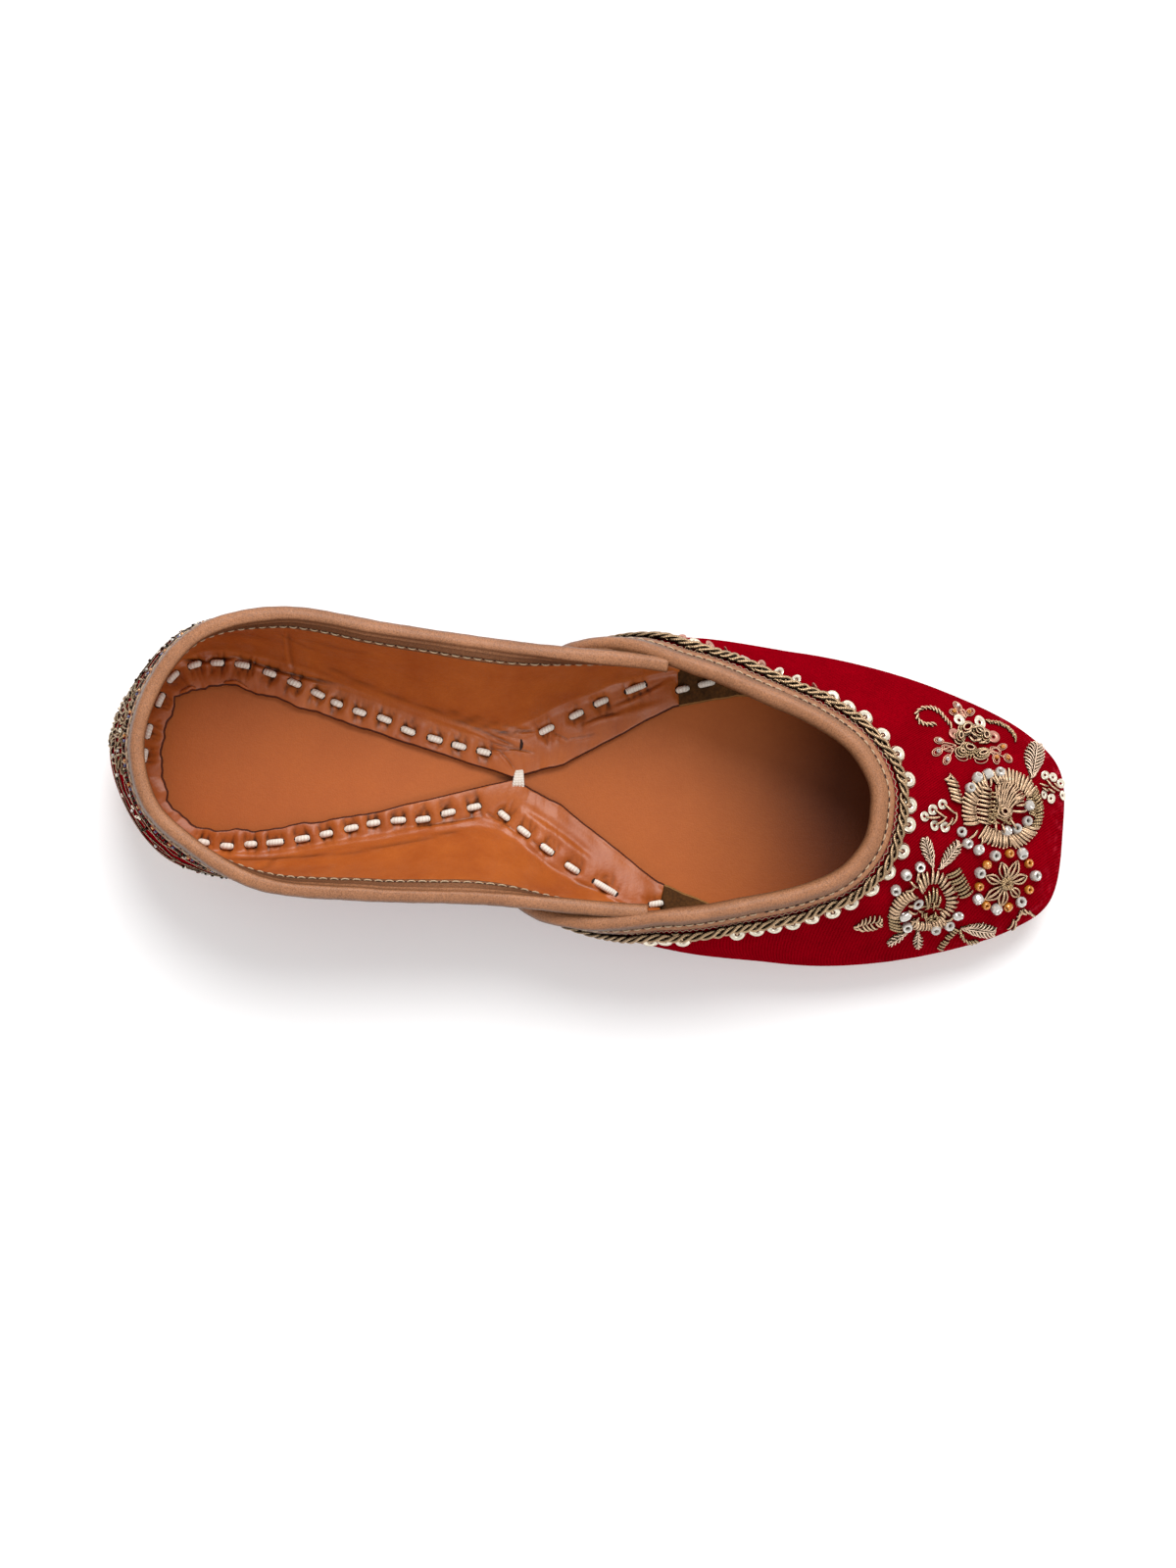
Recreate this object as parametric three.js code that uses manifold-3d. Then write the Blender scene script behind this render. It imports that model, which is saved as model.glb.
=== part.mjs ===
// A mojari: a flat slip-on shoe of south asian dress, stitched by hand, for a left foot.
// Millimetres, +X to the toe, +Y to the outer (left) side, +Z up.
// The origin is on the floor, under the middle of the heel.
import * as THREE from "three";
import { mergeVertices } from "three/addons/utils/BufferGeometryUtils.js";
import Module from "manifold-3d";

const wasm = await Module();
wasm.setup();

// Driving dimensions
const length = 252; // over the upper, from the back of the counter to the toe
const ballWidth = 82; // over the upper at its widest
const collarHeight = 50; // top of the upper at the back, above the floor
const instepHeight = 43.5; // top of the upper at the middle of the throat
const wall = 1.8; // velvet, paste and lining leather together
const outsoleThickness = 4;
const heelLift = 4; // how much thicker the sole is under the heel
const breastSlope = 0.5; // how far the front of the heel slants
const toeSpring = 5; // rise of the sole at the toe
const insoleThickness = 1.5;
const insoleInset = 4; // from the edge of the sole to the edge of the insole
const soleMargin = 0.8; // how far the sole stands out past the fold of the upper
const bindingThickness = 0.8; // leather of the two edge bindings
const collarBindingInside = 5.5; // depth of the collar binding on its stitched inner side
const collarBindingOutside = 3.2;
const throatBindingInside = 2.8;
const throatBindingOutside = 4.8; // depth of the throat binding on its stitched outer side
const gap = 0.3; // clearance between pieces that touch
const pile = 0.15; // how much further off the velvet a binding's outer flange lies
const bindingSkin = gap + bindingThickness; // outside of a binding, off the piece that it binds
const lapBond = 0.25; // how deep the vamp is pressed into the quarters that it laps

// Places along the shoe, as shares of its length from the back
const heelMiddleShare = 0.12;
const heelBreastShare = 0.245;
const treadStartShare = 0.5;
const treadEndShare = 0.81;

// The last, as closed curves round the shoe. Each row is one rib: the middle of the heel first and the
// middle of the toe last, and between them a rib on the left and one on the right.
// at is a share of the length, left and right are shares of half the ball width.
const soleEdge = [
  { at: 0.018, left: 0.0, right: 0.0 },
  { at: 0.037, left: 0.427, right: 0.402 },
  { at: 0.079, left: 0.649, right: 0.61 },
  { at: 0.151, left: 0.629, right: 0.634 },
  { at: 0.27, left: 0.415, right: 0.446 },
  { at: 0.397, left: 0.259, right: 0.273 },
  { at: 0.472, left: 0.52, right: 0.537 },
  { at: 0.571, left: 0.785, right: 0.795 },
  { at: 0.667, left: 0.873, right: 0.907 },
  { at: 0.758, left: 0.866, right: 0.939 },
  { at: 0.853, left: 0.739, right: 0.844 },
  { at: 0.94, left: 0.534, right: 0.644 },
  { at: 0.979, left: 0.317, right: 0.437 },
  { at: 0.989, left: -0.049, right: 0.049 },
];
// up is a share of the height of the top edge at the same rib.
const belly = [
  { at: 0.0, left: 0.0, right: 0.0, up: 0.42 },
  { at: 0.023, left: 0.412, right: 0.41, up: 0.42 },
  { at: 0.073, left: 0.742, right: 0.71, up: 0.43 },
  { at: 0.159, left: 0.78, right: 0.766, up: 0.45 },
  { at: 0.278, left: 0.654, right: 0.671, up: 0.5 },
  { at: 0.401, left: 0.561, right: 0.568, up: 0.5 },
  { at: 0.476, left: 0.744, right: 0.766, up: 0.48 },
  { at: 0.575, left: 0.915, right: 0.939, up: 0.45 },
  { at: 0.671, left: 0.966, right: 1.029, up: 0.4 },
  { at: 0.758, left: 0.932, right: 1.037, up: 0.37 },
  { at: 0.857, left: 0.805, right: 0.927, up: 0.35 },
  { at: 0.952, left: 0.576, right: 0.708, up: 0.32 },
  { at: 0.9915, left: 0.355, right: 0.505, up: 0.31 },
  { at: 1.0, left: -0.037, right: 0.037, up: 0.31 },
];
const shoulder = [
  { at: 0.0125, left: 0.0, right: 0.0, up: 0.78 },
  { at: 0.034, left: 0.433, right: 0.412, up: 0.78 },
  { at: 0.079, left: 0.755, right: 0.69, up: 0.78 },
  { at: 0.165, left: 0.849, right: 0.81, up: 0.78 },
  { at: 0.282, left: 0.768, right: 0.771, up: 0.78 },
  { at: 0.401, left: 0.707, right: 0.707, up: 0.77 },
  { at: 0.476, left: 0.817, right: 0.841, up: 0.78 },
  { at: 0.575, left: 0.922, right: 0.946, up: 0.77 },
  { at: 0.667, left: 0.866, right: 0.922, up: 0.76 },
  { at: 0.75, left: 0.744, right: 0.824, up: 0.74 },
  { at: 0.829, left: 0.585, right: 0.671, up: 0.7 },
  { at: 0.901, left: 0.378, right: 0.488, up: 0.62 },
  { at: 0.937, left: 0.207, right: 0.329, up: 0.575 },
  { at: 0.9445, left: -0.049, right: 0.049, up: 0.565 },
];
// The top edge: ofCollar and ofInstep are the shares of those two heights that add up to its own height.
const topEdge = [
  { at: 0.037, left: 0.0, right: 0.0, ofCollar: 1.0, ofInstep: 0.0 },
  { at: 0.0555, left: 0.444, right: 0.385, ofCollar: 0.996, ofInstep: 0.0 },
  { at: 0.094, left: 0.734, right: 0.595, ofCollar: 0.984, ofInstep: 0.0 },
  { at: 0.171, left: 0.89, right: 0.829, ofCollar: 0.95, ofInstep: 0.0 },
  { at: 0.282, left: 0.851, right: 0.846, ofCollar: 0.8, ofInstep: 0.1 },
  { at: 0.401, left: 0.81, right: 0.807, ofCollar: 0.57, ofInstep: 0.3 },
  { at: 0.476, left: 0.8, right: 0.81, ofCollar: 0.35, ofInstep: 0.53 },
  { at: 0.575, left: 0.778, right: 0.8, ofCollar: 0.15, ofInstep: 0.765 },
  { at: 0.659, left: 0.663, right: 0.722, ofCollar: 0.03, ofInstep: 0.935 },
  { at: 0.73, left: 0.51, right: 0.595, ofCollar: 0.0, ofInstep: 0.99 },
  { at: 0.7695, left: 0.356, right: 0.454, ofCollar: 0.0, ofInstep: 1.0 },
  { at: 0.7915, left: 0.163, right: 0.261, ofCollar: 0.0, ofInstep: 1.0 },
  { at: 0.7965, left: 0.056, right: 0.134, ofCollar: 0.0, ofInstep: 1.0 },
  { at: 0.797, left: -0.037, right: 0.037, ofCollar: 0.0, ofInstep: 1.0 },
];
// The cut edge of the margin that is turned in over the insole. The two sides meet at the waist in an X.
const marginEdge = [
  { at: 0.046, left: 0.0, right: 0.0 },
  { at: 0.0575, left: 0.349, right: 0.329 },
  { at: 0.091, left: 0.444, right: 0.498 },
  { at: 0.155, left: 0.41, right: 0.483 },
  { at: 0.27, left: 0.234, right: 0.312 },
  { at: 0.4185, left: 0.02, right: 0.007 },
  { at: 0.472, left: 0.134, right: 0.146 },
  { at: 0.581, left: 0.566, right: 0.593 },
  { at: 0.647, left: 0.671, right: 0.72 },
  { at: 0.738, left: 0.695, right: 0.756 },
  { at: 0.825, left: 0.585, right: 0.683 },
  { at: 0.905, left: 0.378, right: 0.476 },
  { at: 0.9385, left: 0.183, right: 0.305 },
  { at: 0.9465, left: -0.049, right: 0.049 },
];

// Ribs where the panels of the upper end, counted from the heel
const ribs = 2 * (soleEdge.length - 1);
const quarterEndRib = 7.15;
// The bound rear edges of the vamp: the ribs at which they meet the sole and the throat,
// and how late they turn down from the throat
const leftLap = { sole: 5.5, throat: 7.1, lateness: 3 };
const rightLap = { sole: 5.15, throat: 7.1, lateness: 4 };
const foldRib = quarterEndRib + 0.3; // from here on the vamp's binding is folded to the inside
const lapFadeRibs = [7.25, 8.4]; // where the vamp comes back in to the last, in front of the quarters
const flareFadeRibs = [6.3, 7.1]; // where it stops standing clear of the collar binding
const flareRiseShares = [0.66, 0.92]; // the share of the wall's height over which it starts to stand clear

const stepsPerRib = 4;
const wallRows = 10;
const rowCrowding = 1.5; // rows lie closer together towards the top edge

const clamp01 = (t) => Math.min(1, Math.max(0, t));
const smooth = (t) => clamp01(t) ** 2 * (3 - 2 * clamp01(t));
const steps = (from, to, count) =>
  Array.from({ length: count + 1 }, (_, i) => from + ((to - from) * i) / count);
const along = (at) => (at - heelMiddleShare) * length;
const across = (share) => (share * ballWidth) / 2;

// Height of the outsole's upper face
function soleTop(x) {
  const at = x / length + heelMiddleShare;
  const descent = smooth((at - heelBreastShare) / (treadStartShare - heelBreastShare));
  const spring = clamp01((at - treadEndShare) / (1 - treadEndShare)) ** 2;
  return outsoleThickness + heelLift * (1 - descent) + toeSpring * spring;
}

// The rows of a table as points in order round the shoe: heel, left side, toe, right side
function loopOf(rows, heightOf) {
  const point = (row, side) =>
    new THREE.Vector3(
      along(row.at),
      side > 0 ? across(row.left) : -across(row.right),
      heightOf(row, rows.indexOf(row)),
    );
  const left = rows.map((row) => point(row, 1));
  const right = rows.slice(1, -1).map((row) => point(row, -1));
  return [...left, ...right.reverse()];
}
const topHeight = (row) => row.ofCollar * collarHeight + row.ofInstep * instepHeight;
const shareOfTop = (row, i) => row.up * topHeight(topEdge[i]);
const closedCurve = (points) => new THREE.CatmullRomCurve3(points, true, "centripetal");

const soleCurve = closedCurve(loopOf(soleEdge, () => 0));
const bellyCurve = closedCurve(loopOf(belly, shareOfTop));
const shoulderCurve = closedCurve(loopOf(shoulder, shareOfTop));
const topCurve = closedCurve(loopOf(topEdge, topHeight));
const marginPoints = loopOf(marginEdge, () => 0);

const wrap = (u) => (((u % ribs) + ribs) % ribs) / ribs;
const ribFromHeel = (u) => Math.min(wrap(u), 1 - wrap(u)) * ribs;

function soleEdgeAt(u) {
  const p = soleCurve.getPoint(wrap(u));
  p.z = soleTop(p.x) + gap;
  return p;
}

function marginEdgeAt(u) {
  const t = wrap(u) * ribs;
  const i = Math.floor(t) % ribs;
  return marginPoints[i].clone().lerp(marginPoints[(i + 1) % ribs], t - Math.floor(t));
}

// Outer face of the last at rib u, from the sole (v = 0) to the top edge (v = 1)
function lastPoint(u, v) {
  const t = wrap(u);
  const section = [soleEdgeAt(u), bellyCurve.getPoint(t), shoulderCurve.getPoint(t), topCurve.getPoint(t)];
  return new THREE.CatmullRomCurve3(section, false, "centripetal").getPoint(v);
}

// Unit vectors on the last: along the ribs' order, up the wall, and outwards
function frameAt(u, v) {
  const du = 0.02;
  const dv = 0.02;
  const v0 = Math.max(0, v - dv);
  const v1 = Math.min(1, v + dv);
  const round = lastPoint(u + du, v).sub(lastPoint(u - du, v)).divideScalar(2 * du);
  const up = lastPoint(u, v1).sub(lastPoint(u, v0)).divideScalar(v1 - v0);
  const out = up.clone().cross(round).normalize();
  return { round, up, out };
}

// A point off the last by a distance. Next to the sole it moves level, so that it stays on the sole.
function offLast(u, v, distance) {
  const { out } = frameAt(u, v);
  out.z *= smooth(v / 0.3);
  return lastPoint(u, v).addScaledVector(out.normalize(), distance);
}

const ramp = (t, [from, to]) => smooth((t - from) / (to - from));

// How much of its stand-off from the collar binding the vamp has at rib u, height v
const flare = (u, v) => ramp(v, flareRiseShares) * (1 - ramp(ribFromHeel(u), flareFadeRibs));

// How far the vamp stands off the last, where it laps the quarters
function lapOffset(u, v) {
  const bonded = (wall - lapBond) * (1 - ramp(ribFromHeel(u), lapFadeRibs));
  return bonded + (bindingSkin + gap) * flare(u, v);
}
const lapEdge = ({ sole, throat, lateness }, v) => sole + (throat - sole) * v ** lateness;

// How far the vamp's bound edge lies below the top edge at rib u
function lapDepth(u) {
  const { sole, throat, lateness } = wrap(u) < 0.5 ? leftLap : rightLap;
  const share = clamp01((ribFromHeel(u) - sole) / (throat - sole));
  return lastPoint(u, 1).distanceTo(lastPoint(u, share ** (1 / lateness)));
}

function solidOf(vertices, triangles) {
  const mesh = new wasm.Mesh({
    numProp: 3,
    vertProperties: new Float32Array(vertices.flatMap((p) => [p.x, p.y, p.z])),
    triVerts: new Uint32Array(triangles.flat()),
  });
  return new wasm.Manifold(mesh);
}

function solidOfGeometry(geometry) {
  geometry.deleteAttribute("normal");
  geometry.deleteAttribute("uv");
  const merged = mergeVertices(geometry, 1e-4);
  return new wasm.Manifold(
    new wasm.Mesh({
      numProp: 3,
      vertProperties: merged.attributes.position.array,
      triVerts: new Uint32Array(merged.index.array),
    }),
  );
}

// A closed solid through a list of sections, each a closed ring of as many points.
// A section's first half is its outer face and its second half the inner face, back the other way.
function loft(sections, isClosed) {
  const n = sections[0].length;
  const points = sections.flat();
  const triangles = [];
  const last = isClosed ? sections.length : sections.length - 1;
  for (let i = 0; i < last; i++) {
    const a = i * n;
    const b = ((i + 1) % sections.length) * n;
    for (let k = 0; k < n; k++) {
      const m = (k + 1) % n;
      const rising = points[a + k].distanceTo(points[b + m]);
      const falling = points[a + m].distanceTo(points[b + k]);
      if (rising < falling) triangles.push([a + k, b + k, b + m], [a + k, b + m, a + m]);
      else triangles.push([a + k, b + k, a + m], [b + k, b + m, a + m]);
    }
  }
  if (!isClosed) {
    const end = (sections.length - 1) * n;
    for (let k = 0; k < n / 2 - 1; k++) {
      const far = n - 1 - k;
      triangles.push([k, k + 1, far - 1], [k, far - 1, far]);
      triangles.push([end + k, end + far - 1, end + k + 1], [end + k, end + far, end + far - 1]);
    }
  }
  const made = solidOf(points, triangles);
  return made.volume() < 0 ? solidOf(points, triangles.map(([p, q, r]) => [p, r, q])) : made;
}

// Section of a panel of the upper at rib u: the margin turned in over the insole, the fold, and the wall.
// ribAt(v) lets a panel's edge run aslant, and lift(u, v) is its distance off the last.
function panelSection({ ribAt, lift, marginThickness, marginRaise }) {
  const u = ribAt(0);
  const edge = soleEdgeAt(u);
  const cut = marginEdgeAt(u);
  const inwards = cut.clone().sub(edge).setZ(0).normalize();
  const restOnInsole = (p) => soleTop(p.x) + 2 * gap + insoleThickness + marginRaise;
  const level = (p, z) => new THREE.Vector3(p.x, p.y, z);
  const step = edge.clone().addScaledVector(inwards, insoleInset - 2 * gap);
  const climb = edge.clone().addScaledVector(inwards, insoleInset - gap);
  const outer = [
    level(cut, restOnInsole(cut)),
    level(climb, restOnInsole(climb)),
    level(step, soleTop(step.x) + gap + marginRaise),
  ];
  for (const v of rowHeights) outer.push(offLast(ribAt(v), v, lift(ribAt(v), v)));
  const innerAt = (v) => offLast(ribAt(v), v, lift(ribAt(v), v) - wall);
  const marginTop = restOnInsole(edge) + marginThickness;
  let low = 0;
  let high = 0.6;
  while (high - low > 0.001) {
    const middle = (low + high) / 2;
    if (innerAt(middle).z < marginTop) low = middle;
    else high = middle;
  }
  const inner = [];
  for (const v of rowHeights) inner.unshift(innerAt(v + high * (1 - v) ** 3));
  const corner = inner[inner.length - 1];
  const half = corner.clone().lerp(cut, 0.5);
  inner.push(
    level(half, restOnInsole(half) + marginThickness),
    level(half.clone().lerp(cut, 0.5), restOnInsole(cut) + marginThickness),
    level(cut, restOnInsole(cut) + marginThickness),
  );
  return [...outer, ...inner];
}

// Where the panels have their sections, which their bindings share
const quarterRibs = steps(-quarterEndRib, quarterEndRib, Math.round(2 * quarterEndRib * stepsPerRib));
const vampShares = steps(0, 1, Math.round((ribs - leftLap.sole - rightLap.sole) * stepsPerRib));
const vampRib = (share, v) => lapEdge(leftLap, v) * (1 - share) + (ribs - lapEdge(rightLap, v)) * share;
const rowHeights = steps(0, 1, wallRows).map((t) => 1 - (1 - t) ** rowCrowding);

// The quarters: one panel round the back, from one lap to the other
function quarters() {
  const sections = quarterRibs.map((u) =>
    panelSection({
      ribAt: () => u,
      lift: () => 0,
      marginThickness: wall,
      marginRaise: 0,
    }),
  );
  return loft(sections, false);
}

// The vamp: one panel round the toe, whose bound rear edges lap the quarters
function vamp() {
  const sections = vampShares.map((share) =>
    panelSection({
      ribAt: (v) => vampRib(share, v),
      lift: lapOffset,
      marginThickness: wall - lapBond,
      marginRaise: lapBond / 2,
    }),
  );
  return loft(sections, false);
}

// Moves over the last by a distance, in a direction given as parts of round and up
function walk(u, v, direction, distance) {
  const stride = distance / 4;
  let place = { u, v };
  for (let i = 0; i < 4; i++) {
    const { round, up } = frameAt(place.u, place.v);
    const a = round.dot(round);
    const b = round.dot(up);
    const c = up.dot(up);
    const p = direction.dot(round);
    const q = direction.dot(up);
    const det = a * c - b * b;
    place = {
      u: place.u + (stride * (c * p - b * q)) / det,
      v: Math.min(1, place.v + (stride * (a * q - b * p)) / det),
    };
  }
  return place;
}

// Direction from the bound edge into the panel, in the surface
function intoPanel(edges, i, { u, v }) {
  const next = edges[Math.min(i + 1, edges.length - 1)];
  const before = edges[Math.max(i - 1, 0)];
  const { out, up } = frameAt(u, v);
  const into = next.clone().sub(before).cross(out).normalize();
  return into.dot(up) > 0 ? into.negate() : into;
}

// A leather binding folded over an edge of the upper. path gives places { u, v } along the edge,
// and at each of them the flanges' depths and how much of the edge's thickness the fold covers.
function binding(path, lift) {
  const edges = path.map(({ u, v }) => offLast(u, v, lift(u, v)));
  const sections = path.map((place, i) => {
    const { u, v, outside, inside, cover } = place;
    const into = intoPanel(edges, i, place);
    const on = (depth, distance) => {
      const spot = depth > 0 ? walk(u, v, into, depth) : place;
      return offLast(spot.u, spot.v, lift(spot.u, spot.v) + distance);
    };
    const over = (distance, height) => offLast(u, v, lift(u, v) + distance).addScaledVector(into, -height);
    const outer = [on(outside, pile + bindingSkin), on(outside / 2, pile + bindingSkin), on(0, bindingSkin)];
    const under = [on(0, gap), on(outside / 2, pile + gap), on(outside, pile + gap)];
    if (inside === 0) {
      const end = steps(bindingSkin, gap, 5).map((height) => over(-cover, height));
      return [...outer, over(0.2 * gap, bindingSkin), ...end, over(0, gap), ...under];
    }
    return [
      ...outer,
      over(0.2 * gap, bindingSkin),
      over(-wall - 0.2 * gap, bindingSkin),
      on(0, -wall - bindingSkin),
      on(inside, -wall - bindingSkin),
      on(inside, -wall - gap),
      on(0, -wall - gap),
      over(-wall, gap),
      over(0, gap),
      ...under,
    ];
  });
  return loft(sections, false);
}

// The collar binding follows the top of the quarters, until the vamp's binding crosses over it
function collarBinding() {
  const clear = (u) => lapDepth(u) - bindingSkin - gap;
  const path = quarterRibs
    .filter((u) => clear(u) > gap)
    .map((u) => ({
      u,
      v: 1,
      outside: Math.min(collarBindingOutside, clear(u)),
      inside: collarBindingInside,
      cover: wall,
    }));
  return binding(path, () => 0);
}

// Places on the vamp's bound edge: up the left lap, round the throat, and down the right lap
function throatPath(lowest) {
  const heights = rowHeights.filter((v) => v >= lowest);
  const left = heights.map((v) => ({ u: vampRib(0, v), v }));
  const throat = vampShares.slice(1, -1).map((share) => ({ u: vampRib(share, 1), v: 1 }));
  const right = heights.map((v) => ({ u: vampRib(1, v), v })).reverse();
  return [...left, ...throat, ...right];
}

// Where the vamp laps the quarters its binding ends at them, and in front of them it turns inside
function throatBinding() {
  const path = throatPath(0.1).map(({ u, v }) => ({
    u,
    v,
    outside: throatBindingOutside,
    inside: ribFromHeel(u) > foldRib ? throatBindingInside : 0,
    cover: ribFromHeel(u) > quarterEndRib ? wall + bindingSkin : wall - (lapBond + gap) * (1 - flare(u, v)),
  }));
  return binding(path, lapOffset);
}

// A flat outline as a prism that takes in the whole height of the sole
function prismOf(points) {
  const shape = new THREE.Shape(points.map((p) => new THREE.Vector2(p.x, p.y)));
  const depth = collarHeight;
  const geometry = new THREE.ExtrudeGeometry(shape, { depth, bevelEnabled: false, steps: 1 });
  return solidOfGeometry(geometry.translate(0, 0, -depth / 2));
}

// A side view of the sole as a prism that takes in its whole width
function sidePrismOf(points) {
  const shape = new THREE.Shape(points.map((p) => new THREE.Vector2(p.x, p.y)));
  const geometry = new THREE.ExtrudeGeometry(shape, { depth: 2 * ballWidth, bevelEnabled: false, steps: 1 });
  return solidOfGeometry(geometry.rotateX(Math.PI / 2).translate(0, ballWidth, 0));
}

const outlineSteps = steps(0, ribs, ribs * stepsPerRib).slice(0, -1);
const stationCount = 50;
const stations = steps(-heelMiddleShare * length - wall, (1 - heelMiddleShare) * length + wall, stationCount);

function outsole() {
  const outline = outlineSteps.map((u) => {
    const edge = soleEdgeAt(u);
    const tangent = soleEdgeAt(u + 0.02).sub(soleEdgeAt(u - 0.02)).setZ(0).normalize();
    return edge.add(new THREE.Vector3(-tangent.y, tangent.x, 0).multiplyScalar(soleMargin));
  });
  const breast = along(heelBreastShare);
  const under = (x) => soleTop(x) - outsoleThickness;
  const waist = stations.filter((x) => x > breast + 2 * breastSlope);
  const side = [
    ...stations.map((x) => new THREE.Vector2(x, soleTop(x))).reverse(),
    new THREE.Vector2(stations[0], 0),
    new THREE.Vector2(breast, 0),
    new THREE.Vector2(breast + breastSlope, under(breast)),
    ...waist.map((x) => new THREE.Vector2(x, under(x))),
  ];
  return prismOf(outline).intersect(sidePrismOf(side));
}

function insole() {
  const outline = outlineSteps.map((u) => {
    const edge = soleEdgeAt(u);
    const inwards = marginEdgeAt(u).sub(edge).setZ(0).normalize();
    return edge.addScaledVector(inwards, insoleInset);
  });
  const floor = (x) => soleTop(x) + gap;
  const side = [
    ...stations.map((x) => new THREE.Vector2(x, floor(x) + insoleThickness)).reverse(),
    ...stations.map((x) => new THREE.Vector2(x, floor(x))),
  ];
  return prismOf(outline).intersect(sidePrismOf(side));
}

const leather = (color, roughness) => new THREE.MeshStandardMaterial({ color, roughness, metalness: 0 });
const soleLeather = leather(0xb98a5a, 0.75);
const insoleLeather = leather(0xb5622c, 0.5);
const bindingLeather = leather(0xb07a4b, 0.5);
const velvet = leather(0x9c0717, 0.95);

function meshOf(name, solid, material) {
  const { vertProperties, triVerts, numProp } = solid.getMesh();
  const count = vertProperties.length / numProp;
  const positions = new Float32Array(count * 3);
  for (let i = 0; i < count; i++) {
    positions.set(vertProperties.subarray(i * numProp, i * numProp + 3), i * 3);
  }
  const geometry = new THREE.BufferGeometry();
  geometry.setAttribute("position", new THREE.BufferAttribute(positions, 3));
  geometry.setIndex(new THREE.BufferAttribute(triVerts, 1));
  const mesh = new THREE.Mesh(geometry, material);
  mesh.name = name;
  return mesh;
}

const shoe = new THREE.Group();
shoe.add(
  meshOf("outsole", outsole(), soleLeather),
  meshOf("insole", insole(), insoleLeather),
  meshOf("upper", quarters().add(vamp()), velvet),
  meshOf("collar_binding", collarBinding(), bindingLeather),
  meshOf("throat_binding", throatBinding(), bindingLeather),
);

export default shoe;
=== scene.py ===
import bpy
import numpy as np
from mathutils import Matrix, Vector


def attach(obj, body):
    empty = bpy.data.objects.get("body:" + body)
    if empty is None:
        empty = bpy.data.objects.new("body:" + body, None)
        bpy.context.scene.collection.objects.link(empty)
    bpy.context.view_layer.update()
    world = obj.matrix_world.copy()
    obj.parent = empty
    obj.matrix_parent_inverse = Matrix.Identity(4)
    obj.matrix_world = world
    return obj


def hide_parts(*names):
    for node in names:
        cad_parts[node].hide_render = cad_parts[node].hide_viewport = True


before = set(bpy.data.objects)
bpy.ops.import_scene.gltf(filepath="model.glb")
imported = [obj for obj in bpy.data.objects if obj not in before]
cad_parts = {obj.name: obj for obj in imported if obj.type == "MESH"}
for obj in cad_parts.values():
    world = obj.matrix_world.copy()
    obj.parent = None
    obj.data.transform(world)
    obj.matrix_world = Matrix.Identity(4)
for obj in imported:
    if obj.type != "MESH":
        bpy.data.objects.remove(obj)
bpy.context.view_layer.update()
rng = np.random.default_rng(7)
metres = 0.001

# Sizes of the shoe in millimetres, as in the solid model; places along it are shares of its length.
shoe = {
    "length": 252.0, "ballWidth": 82.0, "collarHeight": 50.0, "instepHeight": 43.5,
    "wall": 1.8, "outsole": 4.0, "heelLift": 4.0, "toeSpring": 5.0, "insole": 1.5,
    "insoleInset": 4.0, "soleMargin": 0.8, "gap": 0.3, "bindingSkin": 1.1, "lapBond": 0.25,
    "heelMiddle": 0.12, "heelBreast": 0.245, "treadStart": 0.5, "treadEnd": 0.81,
    "quarterEnd": 7.1,
    "lapFade": (7.25, 8.4), "flareFade": (6.3, 7.1), "flareRise": (0.66, 0.92),
}
# The bound rear edges of the vamp: ribs at the sole and at the throat, and how late they turn down.
leftLap = {"sole": 5.5, "throat": 7.1, "lateness": 3}
rightLap = {"sole": 5.15, "throat": 7.1, "lateness": 4}
# Ribs of the last from the heel to the toe: share of the length, then left and right shares of half
# the ball width, then the height as a share of the top edge's.
soleEdge = np.array([
    (0.018, 0.0, 0.0), (0.037, 0.427, 0.402), (0.079, 0.649, 0.61), (0.151, 0.629, 0.634),
    (0.27, 0.415, 0.446), (0.397, 0.259, 0.273), (0.472, 0.52, 0.537), (0.571, 0.785, 0.795),
    (0.667, 0.873, 0.907), (0.758, 0.866, 0.939), (0.853, 0.739, 0.844), (0.94, 0.534, 0.644),
    (0.979, 0.317, 0.437), (0.989, -0.049, 0.049)])
belly = np.array([
    (0.0, 0.0, 0.0, 0.42), (0.023, 0.412, 0.41, 0.42), (0.073, 0.742, 0.71, 0.43),
    (0.159, 0.78, 0.766, 0.45), (0.278, 0.654, 0.671, 0.5), (0.401, 0.561, 0.568, 0.5),
    (0.476, 0.744, 0.766, 0.48), (0.575, 0.915, 0.939, 0.45), (0.671, 0.966, 1.029, 0.4),
    (0.758, 0.932, 1.037, 0.37), (0.857, 0.805, 0.927, 0.35), (0.952, 0.576, 0.708, 0.32),
    (0.9915, 0.355, 0.505, 0.31), (1.0, -0.037, 0.037, 0.31)])
shoulder = np.array([
    (0.0125, 0.0, 0.0, 0.78), (0.034, 0.433, 0.412, 0.78), (0.079, 0.755, 0.69, 0.78),
    (0.165, 0.849, 0.81, 0.78), (0.282, 0.768, 0.771, 0.78), (0.401, 0.707, 0.707, 0.77),
    (0.476, 0.817, 0.841, 0.78), (0.575, 0.922, 0.946, 0.77), (0.667, 0.866, 0.922, 0.76),
    (0.75, 0.744, 0.824, 0.74), (0.829, 0.585, 0.671, 0.7), (0.901, 0.378, 0.488, 0.62),
    (0.937, 0.207, 0.329, 0.575), (0.9445, -0.049, 0.049, 0.565)])
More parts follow.
